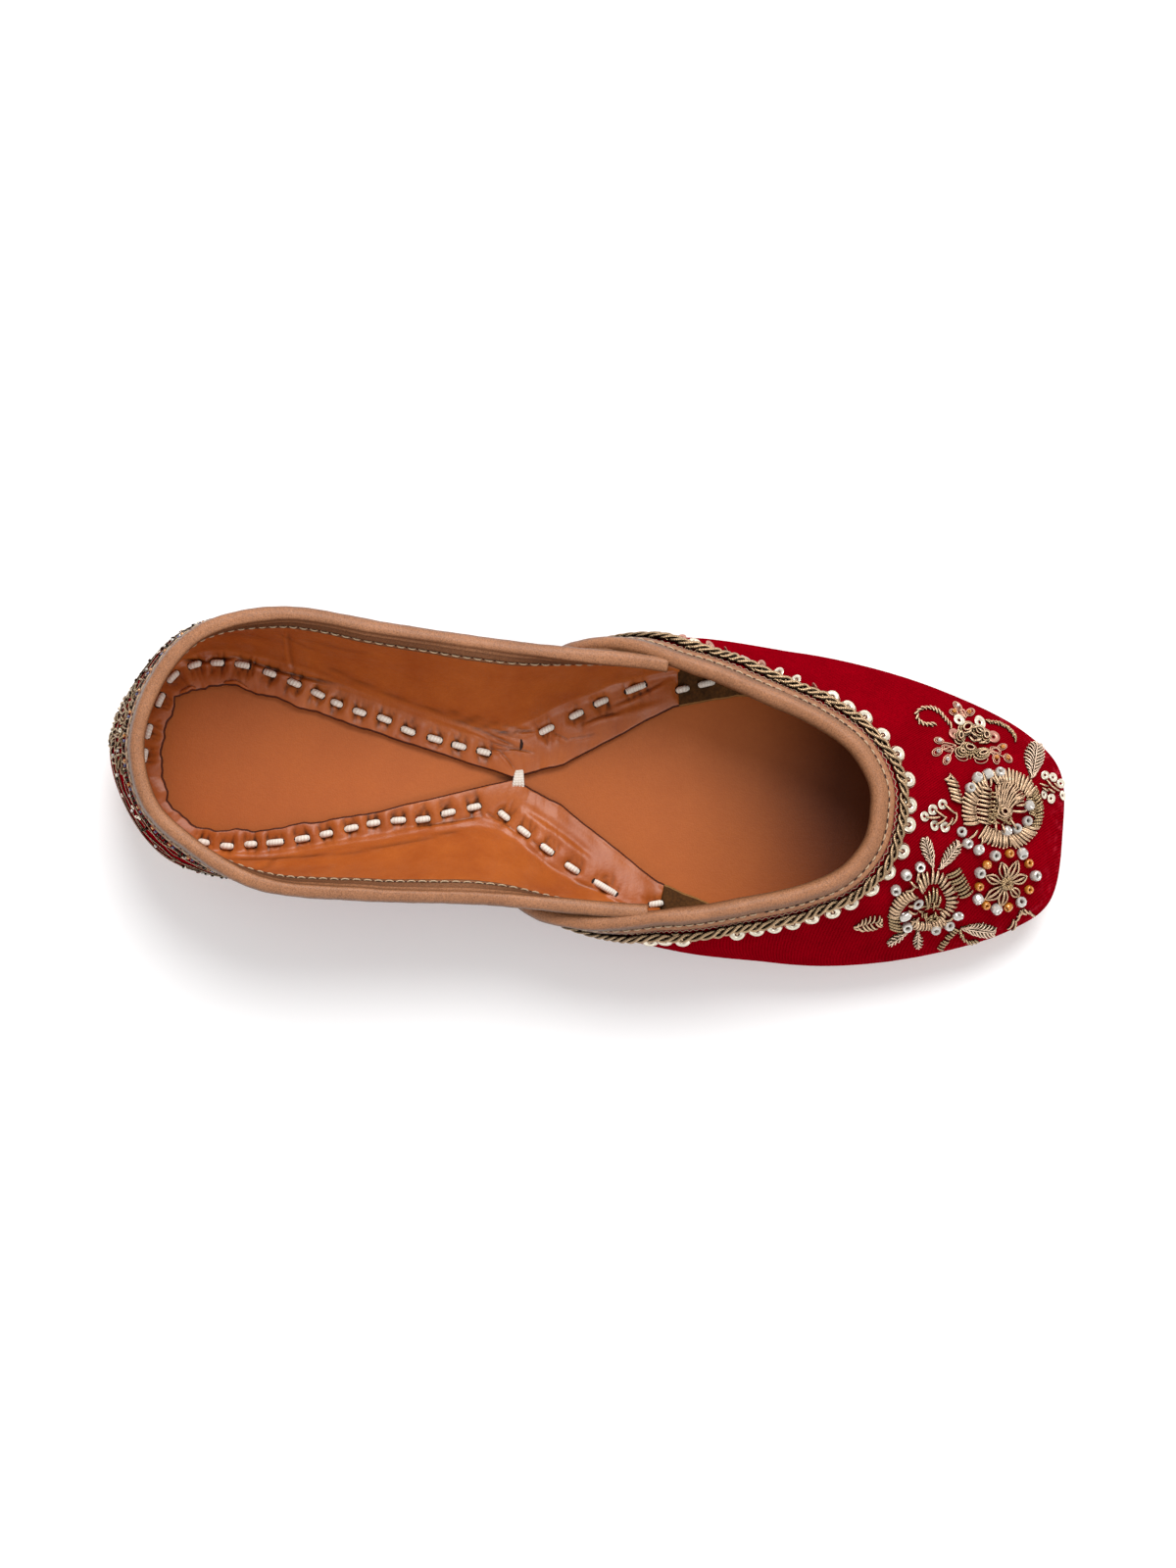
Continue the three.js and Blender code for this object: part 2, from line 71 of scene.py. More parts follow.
# The top edge has two height columns instead: shares of the collar height and of the instep height.
topEdge = np.array([
    (0.037, 0.0, 0.0, 1.0, 0.0), (0.0555, 0.444, 0.385, 0.996, 0.0), (0.094, 0.734, 0.595, 0.984, 0.0),
    (0.171, 0.89, 0.829, 0.95, 0.0), (0.282, 0.851, 0.846, 0.8, 0.1), (0.401, 0.81, 0.807, 0.57, 0.3),
    (0.476, 0.8, 0.81, 0.35, 0.53), (0.575, 0.778, 0.8, 0.15, 0.765), (0.659, 0.663, 0.722, 0.03, 0.935),
    (0.73, 0.51, 0.595, 0.0, 0.99), (0.7695, 0.356, 0.454, 0.0, 1.0), (0.7915, 0.163, 0.261, 0.0, 1.0),
    (0.7965, 0.056, 0.134, 0.0, 1.0), (0.797, -0.037, 0.037, 0.0, 1.0)])
marginEdge = np.array([
    (0.046, 0.0, 0.0), (0.0575, 0.349, 0.329), (0.091, 0.444, 0.498), (0.155, 0.41, 0.483),
    (0.27, 0.234, 0.312), (0.4185, 0.02, 0.007), (0.472, 0.134, 0.146), (0.581, 0.566, 0.593),
    (0.647, 0.671, 0.72), (0.738, 0.695, 0.756), (0.825, 0.585, 0.683), (0.905, 0.378, 0.476),
    (0.9385, 0.183, 0.305), (0.9465, -0.049, 0.049)])
ribs = 2 * (len(soleEdge) - 1)


def smooth(t):
    t = np.clip(t, 0.0, 1.0)
    return t * t * (3 - 2 * t)


def ramp(t, ends):
    return smooth((t - ends[0]) / (ends[1] - ends[0]))


def unit(a):
    return a / np.maximum(np.linalg.norm(a, axis=-1, keepdims=True), 1e-9)


def along(at):
    return (at - shoe["heelMiddle"]) * shoe["length"]


def runAlong(points):
    # distance gone at each point of a polyline
    return np.concatenate([[0], np.cumsum(np.linalg.norm(np.diff(points, axis=0), axis=1))])


def pointing(angle):
    return np.stack([np.cos(angle), np.sin(angle)], axis=-1)


def turned(headings, angle):
    c, s = np.cos(angle), np.sin(angle)
    x, y = headings[..., 0], headings[..., 1]
    return np.stack([x * c - y * s, x * s + y * c], axis=-1)


def soleTop(x):
    # upper face of the sole: the heel's lift eases off from the breast to the tread, and the toe springs
    at = x / shoe["length"] + shoe["heelMiddle"]
    descent = ramp(at, (shoe["heelBreast"], shoe["treadStart"]))
    spring = np.clip((at - shoe["treadEnd"]) / (1 - shoe["treadEnd"]), 0, 1) ** 2
    return shoe["outsole"] + shoe["heelLift"] * (1 - descent) + shoe["toeSpring"] * spring


def loopOf(rows, heights):
    # the ribs as points in order: heel, left side, toe, right side
    x = along(rows[:, 0])
    half = shoe["ballWidth"] / 2
    left = np.column_stack([x, rows[:, 1] * half, heights])
    right = np.column_stack([x, -rows[:, 2] * half, heights])[1:-1]
    return np.concatenate([left, right[::-1]])


topHeights = topEdge[:, 3] * shoe["collarHeight"] + topEdge[:, 4] * shoe["instepHeight"]
flat = np.zeros(len(soleEdge))
soleLoop = loopOf(soleEdge, flat)
bellyLoop = loopOf(belly, belly[:, 3] * topHeights)
shoulderLoop = loopOf(shoulder, shoulder[:, 3] * topHeights)
topLoop = loopOf(topEdge, topHeights)
marginLoop = loopOf(marginEdge, flat)


def spline(p0, p1, p2, p3, w):
    # centripetal Catmull-Rom: knots are spaced by the square roots of the points' distances
    d0, d1, d2 = (np.sqrt(np.maximum(np.linalg.norm(b - a, axis=-1, keepdims=True), 1e-9))
                  for a, b in ((p0, p1), (p1, p2), (p2, p3)))
    t1 = ((p1 - p0) / d0 - (p2 - p0) / (d0 + d1) + (p2 - p1) / d1) * d1
    t2 = ((p2 - p1) / d1 - (p3 - p1) / (d1 + d2) + (p3 - p2) / d2) * d1
    w = w[..., None]
    return p1 + t1 * w + (3 * (p2 - p1) - 2 * t1 - t2) * w ** 2 + (2 * (p1 - p2) + t1 + t2) * w ** 3


def loopAt(points, u):
    i = np.floor(u).astype(int)
    n = len(points)
    return spline(points[(i - 1) % n], points[i % n], points[(i + 1) % n], points[(i + 2) % n], u - i)


def soleEdgeAt(u):
    p = loopAt(soleLoop, u)
    p[..., 2] = soleTop(p[..., 0]) + shoe["gap"]
    return p


def marginEdgeAt(u):
    i = np.floor(u).astype(int)
    w = (u - i)[..., None]
    return marginLoop[i % ribs] * (1 - w) + marginLoop[(i + 1) % ribs] * w


def lastPoint(u, v):
    # outer face of the last: one spline up the wall through the four loops at rib u
    u, v = np.broadcast_arrays(np.asarray(u, float), np.asarray(v, float))
    a, b, c, d = (soleEdgeAt(u), loopAt(bellyLoop, u), loopAt(shoulderLoop, u), loopAt(topLoop, u))
    knots = np.stack([2 * a - b, a, b, c, d, 2 * d - c], axis=-2)
    s = np.clip(3 * v, 0, 3)
    i = np.minimum(s.astype(int), 2)
    pick = [np.take_along_axis(knots, (i + k)[..., None, None], axis=-2)[..., 0, :] for k in range(4)]
    return spline(*pick, s - i)


def frameAt(u, v):
    # directions round the last and up it, by small differences, and the outward normal
    step = 0.02
    low, high = np.maximum(v - step, 0), np.minimum(v + step, 1)
    around = (lastPoint(u + step, v) - lastPoint(u - step, v)) / (2 * step)
    up = (lastPoint(u, high) - lastPoint(u, low)) / (high - low)[..., None]
    return around, up, unit(np.cross(up, around))


def offLast(u, v, distance):
    # a point at a distance off the last; near the sole it goes straight sideways
    u, v, distance = np.broadcast_arrays(*(np.asarray(value, float) for value in (u, v, distance)))
    out = frameAt(u, v)[2]
    out[..., 2] *= smooth(v / 0.3)
    return lastPoint(u, v) + unit(out) * distance[..., None]


def ribFromHeel(u):
    w = np.mod(u, ribs)
    return np.minimum(w, ribs - w)


def flare(u, v):
    # 1 high on the lap, where the vamp stands clear of the collar binding, and 0 elsewhere
    return ramp(v, shoe["flareRise"]) * (1 - ramp(ribFromHeel(u), shoe["flareFade"]))


def lapOffset(u, v):
    # how far the vamp stands off the last where it laps the quarters
    bonded = (shoe["wall"] - shoe["lapBond"]) * (1 - ramp(ribFromHeel(u), shoe["lapFade"]))
    return bonded + (shoe["bindingSkin"] + shoe["gap"]) * flare(u, v)


def lapEdge(lap, v):
    return lap["sole"] + (lap["throat"] - lap["sole"]) * v ** lap["lateness"]


def vampRib(share, v):
    # the rib at a share of the way round the vamp, from its left rear edge to its right one
    return lapEdge(leftLap, v) * (1 - share) + (ribs - lapEdge(rightLap, v)) * share


def lapDepth(u):
    # how far the vamp's bound edge lies below the top edge at rib u
    depths = []
    for lap in (leftLap, rightLap):
        share = np.clip((ribFromHeel(u) - lap["sole"]) / (lap["throat"] - lap["sole"]), 0, 1)
        depths.append(np.linalg.norm(lastPoint(u, 1.0) - lastPoint(u, share ** (1 / lap["lateness"])), axis=1))
    return np.where(np.mod(u, ribs) < ribs / 2, *depths)


def noLift(u, v):
    return 0.0 * (u + v)


# Places that are charted on the picture: 1200 by 1600 dots, seen from straight above the floor.
view = {"height": 1100.0, "scale": 0.2625, "middle": (600.0, 820.0), "camera": (99.4, -46.2)}


def toPicture(p):
    grow = view["height"] / (view["height"] - p[..., 2]) / view["scale"]
    x = view["middle"][0] + (p[..., 0] - view["camera"][0]) * grow
    y = view["middle"][1] - (p[..., 1] - view["camera"][1]) * grow
    return np.stack([x, y], axis=-1)


def atHeight(dots, z):
    # where the sight lines through the dots meet a height; z may be a function of x
    dots = np.asarray(dots, float)
    height = np.full(dots.shape[:-1], 10.0)
    for _ in range(4):
        shrink = view["scale"] * (view["height"] - height) / view["height"]
        x = view["camera"][0] + (dots[..., 0] - view["middle"][0]) * shrink
        y = view["camera"][1] + (view["middle"][1] - dots[..., 1]) * shrink
        height = z(x) if callable(z) else np.full(dots.shape[:-1], float(z))
    return np.stack([x, y, height], axis=-1)


def vampPoint(u, v, distance=0.0):
    return offLast(u, v, lapOffset(u, v) + distance)


# points of the vamp and their picture dots, less those that face down
guideShare, guideRow = np.meshgrid(np.linspace(0.03, 0.97, 160), np.linspace(0.06, 1.0, 44))
guideU = vampRib(guideShare, guideRow)
guideDots = toPicture(vampPoint(guideU, guideRow))
guideDots[frameAt(guideU, guideRow)[2][..., 2] < 0.08] = -9999.0


def spotOn(dots):
    # the place on the vamp under each dot: the nearest guide point, then Newton's steps
    dots = np.asarray(dots, float)
    flatDots = dots.reshape(-1, 2)
    u, v = np.empty(len(flatDots)), np.empty(len(flatDots))
    for part in np.array_split(np.arange(len(flatDots)), max(1, len(flatDots) // 400)):
        away = ((guideDots.reshape(-1, 1, 2) - flatDots[part]) ** 2).sum(-1)
        best = away.argmin(axis=0)
        u[part], v[part] = guideU.ravel()[best], guideRow.ravel()[best]
    step = 0.01
    for _ in range(6):
        here = toPicture(vampPoint(u, v))
        du = (toPicture(vampPoint(u + step, v)) - here) / step
        dv = (here - toPicture(vampPoint(u, v - step))) / step
        miss = flatDots - here
        det = du[:, 0] * dv[:, 1] - du[:, 1] * dv[:, 0]
        det = np.where(np.abs(det) < 1.0, np.where(det < 0, -1.0, 1.0), det)
        u = u + np.clip((miss[:, 0] * dv[:, 1] - miss[:, 1] * dv[:, 0]) / det, -0.2, 0.2)
        v = np.clip(v + np.clip((du[:, 0] * miss[:, 1] - du[:, 1] * miss[:, 0]) / det, -0.1, 0.1), 0.03, 1.0)
    return u.reshape(dots.shape[:-1]), v.reshape(dots.shape[:-1])


def onVamp(dots, distance=0.0):
    # points off the vamp's face under picture dots, and its outward normals there
    u, v = spotOn(dots)
    return vampPoint(u, v, distance), frameAt(u, v)[2]


def gridFaces(rows, columns, closedRows=False, closedColumns=False):
    index = np.arange(rows * columns).reshape(rows, columns)
    if closedRows:
        index = np.concatenate([index, index[:1]], axis=0)
    if closedColumns:
        index = np.concatenate([index, index[:, :1]], axis=1)
    a, b, c, d = index[:-1, :-1], index[1:, :-1], index[1:, 1:], index[:-1, 1:]
    return np.stack([a, b, c, d], axis=-1).reshape(-1, 4)


def bothEnds(faces, count, size):
    # faces over the first ring of a piece, and the same turned round over its last ring
    return np.concatenate([faces, (faces + (count - 1) * size)[:, ::-1]])


def ringUv(run, size, width):
    return np.stack(np.broadcast_arrays(run[:, None], np.linspace(0, width, size)), axis=-1)


def meshPiece(name, vertices, faceSets, materials, replaces=(), uv=None, picks=None, smoothed=True,
              shade=None):
    # vertices in millimetres; faceSets hold equal-sided faces; picks gives a material to each face of a set;
    # shade is painted shade, a value for each vertex that darkens leather in its creases and where it turns
    # down
    mesh = bpy.data.meshes.new(name)
    vertices = np.asarray(vertices, float).reshape(-1, 3)
    faceSets = [np.asarray(f) for f in faceSets if len(f)]
    corners = np.concatenate([f.ravel() for f in faceSets])
    totals = np.concatenate([np.full(len(f), f.shape[1]) for f in faceSets])
    mesh.vertices.add(len(vertices))
    mesh.vertices.foreach_set("co", (vertices * metres).ravel())
    mesh.loops.add(len(corners))
    mesh.loops.foreach_set("vertex_index", corners.astype(np.int32))
    mesh.polygons.add(len(totals))
    mesh.polygons.foreach_set("loop_start", np.concatenate([[0], np.cumsum(totals)[:-1]]).astype(np.int32))
    if picks is not None:
        mesh.polygons.foreach_set("material_index", np.concatenate(picks).astype(np.int32))
    if uv is not None:
        layer = mesh.uv_layers.new(name="along")
        layer.data.foreach_set("uv", np.asarray(uv, float).reshape(-1, 2)[corners].ravel())
    if shade is not None:
        layer = mesh.attributes.new("crease", "FLOAT", "POINT")
        layer.data.foreach_set("value", np.asarray(shade, float).ravel())
    mesh.update(calc_edges=True)
    mesh.validate()
    # the first set is the curved one; end faces stay flat
    curved = np.concatenate([np.full(len(f), smoothed and k == 0) for k, f in enumerate(faceSets)])
    mesh.polygons.foreach_set("use_smooth", curved)
    for one in materials:
        mesh.materials.append(one)
    piece = bpy.data.objects.new(name, mesh)
    bpy.context.scene.collection.objects.link(piece)
    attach(piece, "root")
    if replaces:
        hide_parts(*replaces)
    return piece


def cords(paths, outward, radius, sides=6, ends=0.45):
    # round cords along paths (cord, step, xyz); outward is any direction that isn't along them
    paths = np.asarray(paths, float)
    count, steps = paths.shape[:2]
    tangent = unit(np.gradient(paths, axis=1))
    side = unit(np.cross(tangent, np.broadcast_to(outward, paths.shape)))
    up = np.cross(side, tangent)
    thick = np.broadcast_to(np.asarray(radius, float), (count, steps)).copy()
    thick[:, 0] *= ends
    thick[:, -1] *= ends
    # the seam of the turn lies underneath, so the turn's middle is the side away from the shoe
    turn = np.arange(sides) / sides
    angle = 2 * np.pi * turn - np.pi / 2
    ring = side[:, :, None] * np.cos(angle)[:, None] + up[:, :, None] * np.sin(angle)[:, None]
    points = paths[:, :, None] + ring * thick[:, :, None, None]
    quads = gridFaces(steps, sides, closedColumns=True)
    offset = (np.arange(count) * steps * sides)[:, None, None]
    first = np.arange(sides)
    caps = np.stack([first, first[::-1] + (steps - 1) * sides])
    length = np.stack([runAlong(path) for path in paths])
    uv = np.stack(np.broadcast_arrays(length[:, :, None], turn), axis=-1)
    return {"points": points.reshape(-1, 3), "quads": (quads + offset).reshape(-1, 4)[:, ::-1],
            "caps": (caps + offset).reshape(-1, sides), "uv": uv.reshape(-1, 2)}


def joined(parts):
    # several cord or solid arrays as one; faces of each kind keep their own set
    points, uv, sets, base = [], [], {}, 0
    for part in parts:
        for key in ("quads", "caps"):
            if key in part and len(part[key]):
                sets.setdefault(part[key].shape[1], []).append(part[key] + base)
        points.append(part["points"])
        uv.append(part["uv"])
        base += len(part["points"])
    return np.concatenate(points), [np.concatenate(s) for s in sets.values()], np.concatenate(uv)


def cordPiece(name, parts, material, smoothed=True):
    points, sets, uv = joined(parts)
    return meshPiece(name, points, sets, [material], uv=uv, smoothed=smoothed)


def resampled(points, count):
    # the same polyline with evenly spaced points
    points = np.asarray(points, float)
    gone = runAlong(points)
    at = np.linspace(0, gone[-1], count)
    return np.stack([np.interp(at, gone, points[:, k]) for k in range(points.shape[1])], axis=1)


def softened(points, passes):
    # each inner point moves to the mean of itself and its neighbours
    points = np.array(points, float)
    for _ in range(passes):
        points[1:-1] = (points[:-2] + 2 * points[1:-1] + points[2:]) / 4
    return points


def add(tree, kind, inputs=None, **settings):
    node = tree.nodes.new(kind)
    for key, value in settings.items():
        setattr(node, key, value)
    for key, value in (inputs or {}).items():
        if isinstance(value, bpy.types.NodeSocket):
            tree.links.new(value, node.inputs[key])
        else:
            node.inputs[key].default_value = value
    return node


def maths(tree, operation, *values):
    return add(tree, "ShaderNodeMath", dict(enumerate(values)), operation=operation).outputs[0]


def blendColours(tree, factor, first, second, kind="MIX"):
    inputs = {0: factor, 6: first, 7: second}
    return add(tree, "ShaderNodeMix", inputs, data_type="RGBA", blend_type=kind).outputs[2]


def ramped(tree, value, low, high, to=(0.0, 1.0)):
    inputs = {"Value": value, "From Min": low, "From Max": high, "To Min": to[0], "To Max": to[1]}
    return add(tree, "ShaderNodeMapRange", inputs).outputs[0]


def millimetres(tree):
    place = add(tree, "ShaderNodeTexCoord").outputs["Object"]
    return add(tree, "ShaderNodeMapping", {"Vector": place, "Scale": (1000, 1000, 1000)}).outputs[0]


def noise(tree, where, size, detail=3.0, roughness=0.5):
    inputs = {"Vector": where, "Scale": 1.0 / size, "Detail": detail, "Roughness": roughness}
    return add(tree, "ShaderNodeTexNoise", inputs).outputs[0]


def srgb(r, g, b):
    c = np.array([r, g, b]) / 255
    linear = np.where(c <= 0.04045, c / 12.92, ((c + 0.055) / 1.055) ** 2.4)
    return (*linear, 1.0)


def newMaterial(name, **sockets):
    made = bpy.data.materials.new(name)
    made.use_nodes = True
    tree = made.node_tree
    shader = tree.nodes["Principled BSDF"]
    for key, value in sockets.items():
        shader.inputs[key.replace("_", " ")].default_value = value
    return made, tree, shader


def bumped(tree, shader, height, distance, strength=1.0):
    inputs = {"Height": height, "Distance": distance * metres, "Strength": strength}
    tree.links.new(add(tree, "ShaderNodeBump", inputs).outputs[0], shader.inputs["Normal"])


def leather(name, colour, dark, roughness, grain, depth, mottle=0.5, pores=0.0, coat=0.0):
    # mottled colour over a fine cellular grain, darker between the cells when it has pores; the crease
    # attribute adds painted shade
    made, tree, shader = newMaterial(name, Roughness=roughness, Specular_IOR_Level=0.25, Coat_Weight=coat,
                                     Coat_Roughness=0.34)
    where = millimetres(tree)
    cloud = noise(tree, where, 14.0, 4.0, 0.6)
    fine = noise(tree, where, 1.1, 3.0, 0.6)
    tone = blendColours(tree, ramped(tree, cloud, 0.3, 0.7, (0.0, mottle)), srgb(*colour), srgb(*dark))
    tone = blendColours(tree, ramped(tree, fine, 0.35, 0.75, (0.0, 0.25)), tone, srgb(*dark))
    bend = noise(tree, where, grain * 3, 2.0)
    bent = add(tree, "ShaderNodeVectorMath", {0: where, 1: bend}, operation="ADD").outputs[0]
    cells = add(tree, "ShaderNodeTexVoronoi", {"Vector": bent, "Scale": 1.0 / grain}, feature="F1").outputs[0]
    deep = srgb(*(c * 0.42 for c in dark))
    tone = blendColours(tree, ramped(tree, cells, 0.3, 0.8, (0.0, pores)), tone, deep)
    # painted shade: the crease attribute darkens the colour in creases and on surfaces that turn down
    crease = add(tree, "ShaderNodeAttribute", attribute_name="crease").outputs["Fac"]
    tone = blendColours(tree, ramped(tree, crease, 0.02, 0.38, (0.0, 0.88)), tone, deep)
    tree.links.new(tone, shader.inputs["Base Color"])
    raised = maths(tree, "MULTIPLY", cells, -1.0)
    bumped(tree, shader, maths(tree, "ADD", raised, noise(tree, where, grain * 4, 3.0)), depth)
    rough = ramped(tree, cloud, 0.3, 0.7, (roughness - 0.06, roughness + 0.08))
    tree.links.new(rough, shader.inputs["Roughness"])
    return made, tone


def lengthwiseShade(material, tone, stops):
    # a colour ramp along the shoe: stops pair x in millimetres with the share of red that stays; green and
    # blue fade faster
    tree = material.node_tree
    x = add(tree, "ShaderNodeSeparateXYZ", {"Vector": millimetres(tree)}).outputs["X"]
    for (x0, share0), (x1, share1) in zip(stops, stops[1:]):
        step = ramped(tree, x, x0, x1, (1.0, share1 / share0))
        green, blue = (maths(tree, "POWER", step, power) for power in (1.3, 2.0))
        tint = add(tree, "ShaderNodeCombineColor", {0: step, 1: green, 2: blue}).outputs[0]
        tone = blendColours(tree, 1.0, tone, tint, "MULTIPLY")
    tree.links.new(tone, tree.nodes["Principled BSDF"].inputs["Base Color"])


footbedLeather, footbedTone = leather("footbedLeather", (184, 99, 44), (164, 82, 34), 0.42, 0.5, 0.02, 0.35)
lengthwiseShade(footbedLeather, footbedTone, [
    (-20, 1.0), (0, 0.9), (60, 0.97), (84, 0.91), (122, 1.02), (140, 0.86), (162, 0.4)])
liningLeather, _ = leather("liningLeather", (177, 95, 39), (144, 65, 18), 0.4, 0.7, 0.04, 0.7, coat=0.25)
vampLining, _ = leather("vampLining", (104, 64, 24), (62, 36, 12), 0.9, 0.8, 0.1, 0.9, 0.4)
# a lighter tan along the vamp's cut edge: partly the raw edge's colour, partly a painted highlight
edgeLeather, _ = leather("edgeLeather", (150, 104, 52), (110, 70, 34), 0.7, 0.6, 0.06, 0.6)
bindingLeather, _ = leather("bindingLeather", (176, 119, 81), (122, 76, 46), 0.36, 0.3, 0.12, 0.45, 0.45, 0.2)
soleLeather, _ = leather("soleLeather", (178, 130, 84), (150, 104, 64), 0.65, 0.6, 0.05, 0.6)
rawLeather, _ = leather("rawLeather", (88, 42, 26), (52, 22, 14), 0.6, 0.5, 0.12, 0.6)


def velvetMaterial():
    # deep red pile: noise at the scale of the pile, brushed patches and fine slanting ribs
    made, tree, shader = newMaterial("velvet", Roughness=0.95, Specular_IOR_Level=0.0)
    shader.inputs["Sheen Weight"].default_value = 0.03
    shader.inputs["Sheen Roughness"].default_value = 0.35
    shader.inputs["Sheen Tint"].default_value = srgb(220, 10, 40)
    where = millimetres(tree)
    patches = noise(tree, where, 9.0, 4.0, 0.6)
    pile = noise(tree, where, 0.35, 2.0, 0.7)
    slanted = add(tree, "ShaderNodeMapping", {"Vector": where, "Rotation": (0.3, 0.2, 0.75)}).outputs[0]
    weave = add(tree, "ShaderNodeTexWave",
                {"Vector": slanted, "Scale": 0.62, "Distortion": 1.2, "Detail": 2.0}).outputs["Fac"]
    tone = blendColours(tree, ramped(tree, patches, 0.3, 0.7), srgb(114, 0, 9), srgb(140, 0, 14))
    tone = blendColours(tree, ramped(tree, pile, 0.35, 0.65, (0.0, 0.75)), tone, srgb(80, 0, 5))
    tone = blendColours(tree, ramped(tree, weave, 0.2, 0.9, (0.0, 0.26)), tone, srgb(164, 4, 24))
    # the pile is worn pale and pink round the edge of the toe
    parts = add(tree, "ShaderNodeSeparateXYZ", {"Vector": where})
    toe = ramped(tree, parts.outputs["X"], 150.0, 205.0)
    low = ramped(tree, parts.outputs["Z"], 19.0, 14.0)
    streaks = ramped(tree, noise(tree, where, 2.4, 5.0, 0.75), 0.52, 0.72)
    worn = maths(tree, "MULTIPLY", maths(tree, "MULTIPLY", toe, low), streaks)
    tone = blendColours(tree, worn, tone, srgb(186, 44, 62))
    tree.links.new(tone, shader.inputs["Base Color"])
    bumped(tree, shader, maths(tree, "ADD", pile, weave), 0.12)
    return made


velvet = velvetMaterial()


def windings(tree, where, pitch, distortion):
    # a wave that repeats every pitch millimetres along the thread
    inputs = {"Vector": where, "Scale": 0.314 / pitch, "Distortion": distortion}
    return add(tree, "ShaderNodeTexWave", inputs, bands_direction="X").outputs["Fac"]


def metalThread(name, colour, dark, roughness, rings=0.28, ringDepth=0.05):
    # metal thread wound in fine rings across its length, with painted shade in the grooves between the rings
    made, tree, shader = newMaterial(name, Roughness=roughness, Metallic=1.0)
    place = add(tree, "ShaderNodeUVMap", uv_map="along").outputs[0]
    wave = windings(tree, place, rings, 0.0)
    cloud = noise(tree, millimetres(tree), 1.6, 3.0, 0.6)
    tone = blendColours(tree, ramped(tree, cloud, 0.3, 0.7, (0.45, 0.0)), srgb(*colour), srgb(*dark))
    tone = blendColours(tree, ramped(tree, wave, 0.0, 0.5, (0.35, 0.0)), tone, srgb(*dark))
    # painted shade at the foot of the thread, so it stays bright only along its crest
    turn = add(tree, "ShaderNodeSeparateXYZ", {"Vector": place}).outputs["Y"]
    away = maths(tree, "ABSOLUTE", maths(tree, "SUBTRACT", turn, 0.5))
    tone = blendColours(tree, ramped(tree, away, 0.07, 0.21), tone, srgb(*(c * 0.4 for c in dark)))
    tree.links.new(tone, shader.inputs["Base Color"])
    bumped(tree, shader, wave, ringDepth)
    return made


goldCoil = metalThread("goldCoil", (222, 188, 154), (128, 92, 66), 0.2)
ringedCoil = metalThread("ringedCoil", (200, 170, 130), (92, 66, 42), 0.26, rings=0.62, ringDepth=0.14)
goldBraid = metalThread("goldBraid", (184, 154, 120), (108, 82, 60), 0.26, rings=0.4)
goldFine = metalThread("goldFine", (250, 222, 196), (132, 88, 62), 0.26, rings=0.3, ringDepth=0.03)
wirePink = metalThread("wirePink", (240, 194, 166), (190, 120, 98), 0.36, rings=0.3, ringDepth=0.02)


def threadMaterial(name, colour, dark, twist):
    made, tree, shader = newMaterial(name, Roughness=0.7)
    shader.inputs["Sheen Weight"].default_value = 0.2
    place = add(tree, "ShaderNodeUVMap", uv_map="along").outputs[0]
    slanted = add(tree, "ShaderNodeMapping", {"Vector": place, "Rotation": (0, 0, 0.6)}).outputs[0]
    wave = windings(tree, slanted, twist, 0.5)
    # painted shade: darker in the grooves of the twist
    tone = blendColours(tree, ramped(tree, wave, 0.0, 0.6, (0.6, 0.0)), srgb(*colour), srgb(*dark))
    tree.links.new(tone, shader.inputs["Base Color"])
    bumped(tree, shader, wave, 0.06)
    return made


whiteThread = threadMaterial("whiteThread", (232, 224, 212), (198, 184, 168), 0.5)
machineThread = threadMaterial("machineThread", (192, 164, 132), (130, 98, 68), 0.3)
redThread = threadMaterial("redThread", (176, 30, 46), (120, 6, 24), 0.3)


def plainMaterial(name, colour, **sockets):
    made, tree, shader = newMaterial(name, **sockets)
    cloud = noise(tree, millimetres(tree), 2.0, 2.0)
    darker = tuple(int(c * 0.8) for c in colour)
    tone = blendColours(tree, ramped(tree, cloud, 0.3, 0.7, (0.0, 0.6)), srgb(*colour), srgb(*darker))
    tree.links.new(tone, shader.inputs["Base Color"])
    return made


sequinFoil = plainMaterial("sequinFoil", (236, 224, 202), Metallic=0.55, Roughness=0.22)
# painted shade: a darker, pinker copy of the sequin foil
sequinShade = plainMaterial("sequinShade", (186, 130, 112), Metallic=0.5, Roughness=0.3)
clearGlass = plainMaterial("clearGlass", (204, 198, 190), Roughness=0.1, Metallic=0.4, Coat_Weight=1.0)
amberGlass = plainMaterial("amberGlass", (200, 126, 40), Roughness=0.12, Metallic=0.3, Coat_Weight=1.0)
blueGlass = plainMaterial("blueGlass", (34, 38, 96), Roughness=0.12, Coat_Weight=1.0)
# painted shade: a dark stand-in for the holes the thread goes through
holeShade = plainMaterial("holeShade", (40, 18, 10), Roughness=0.9)
print("materials", flush=True)

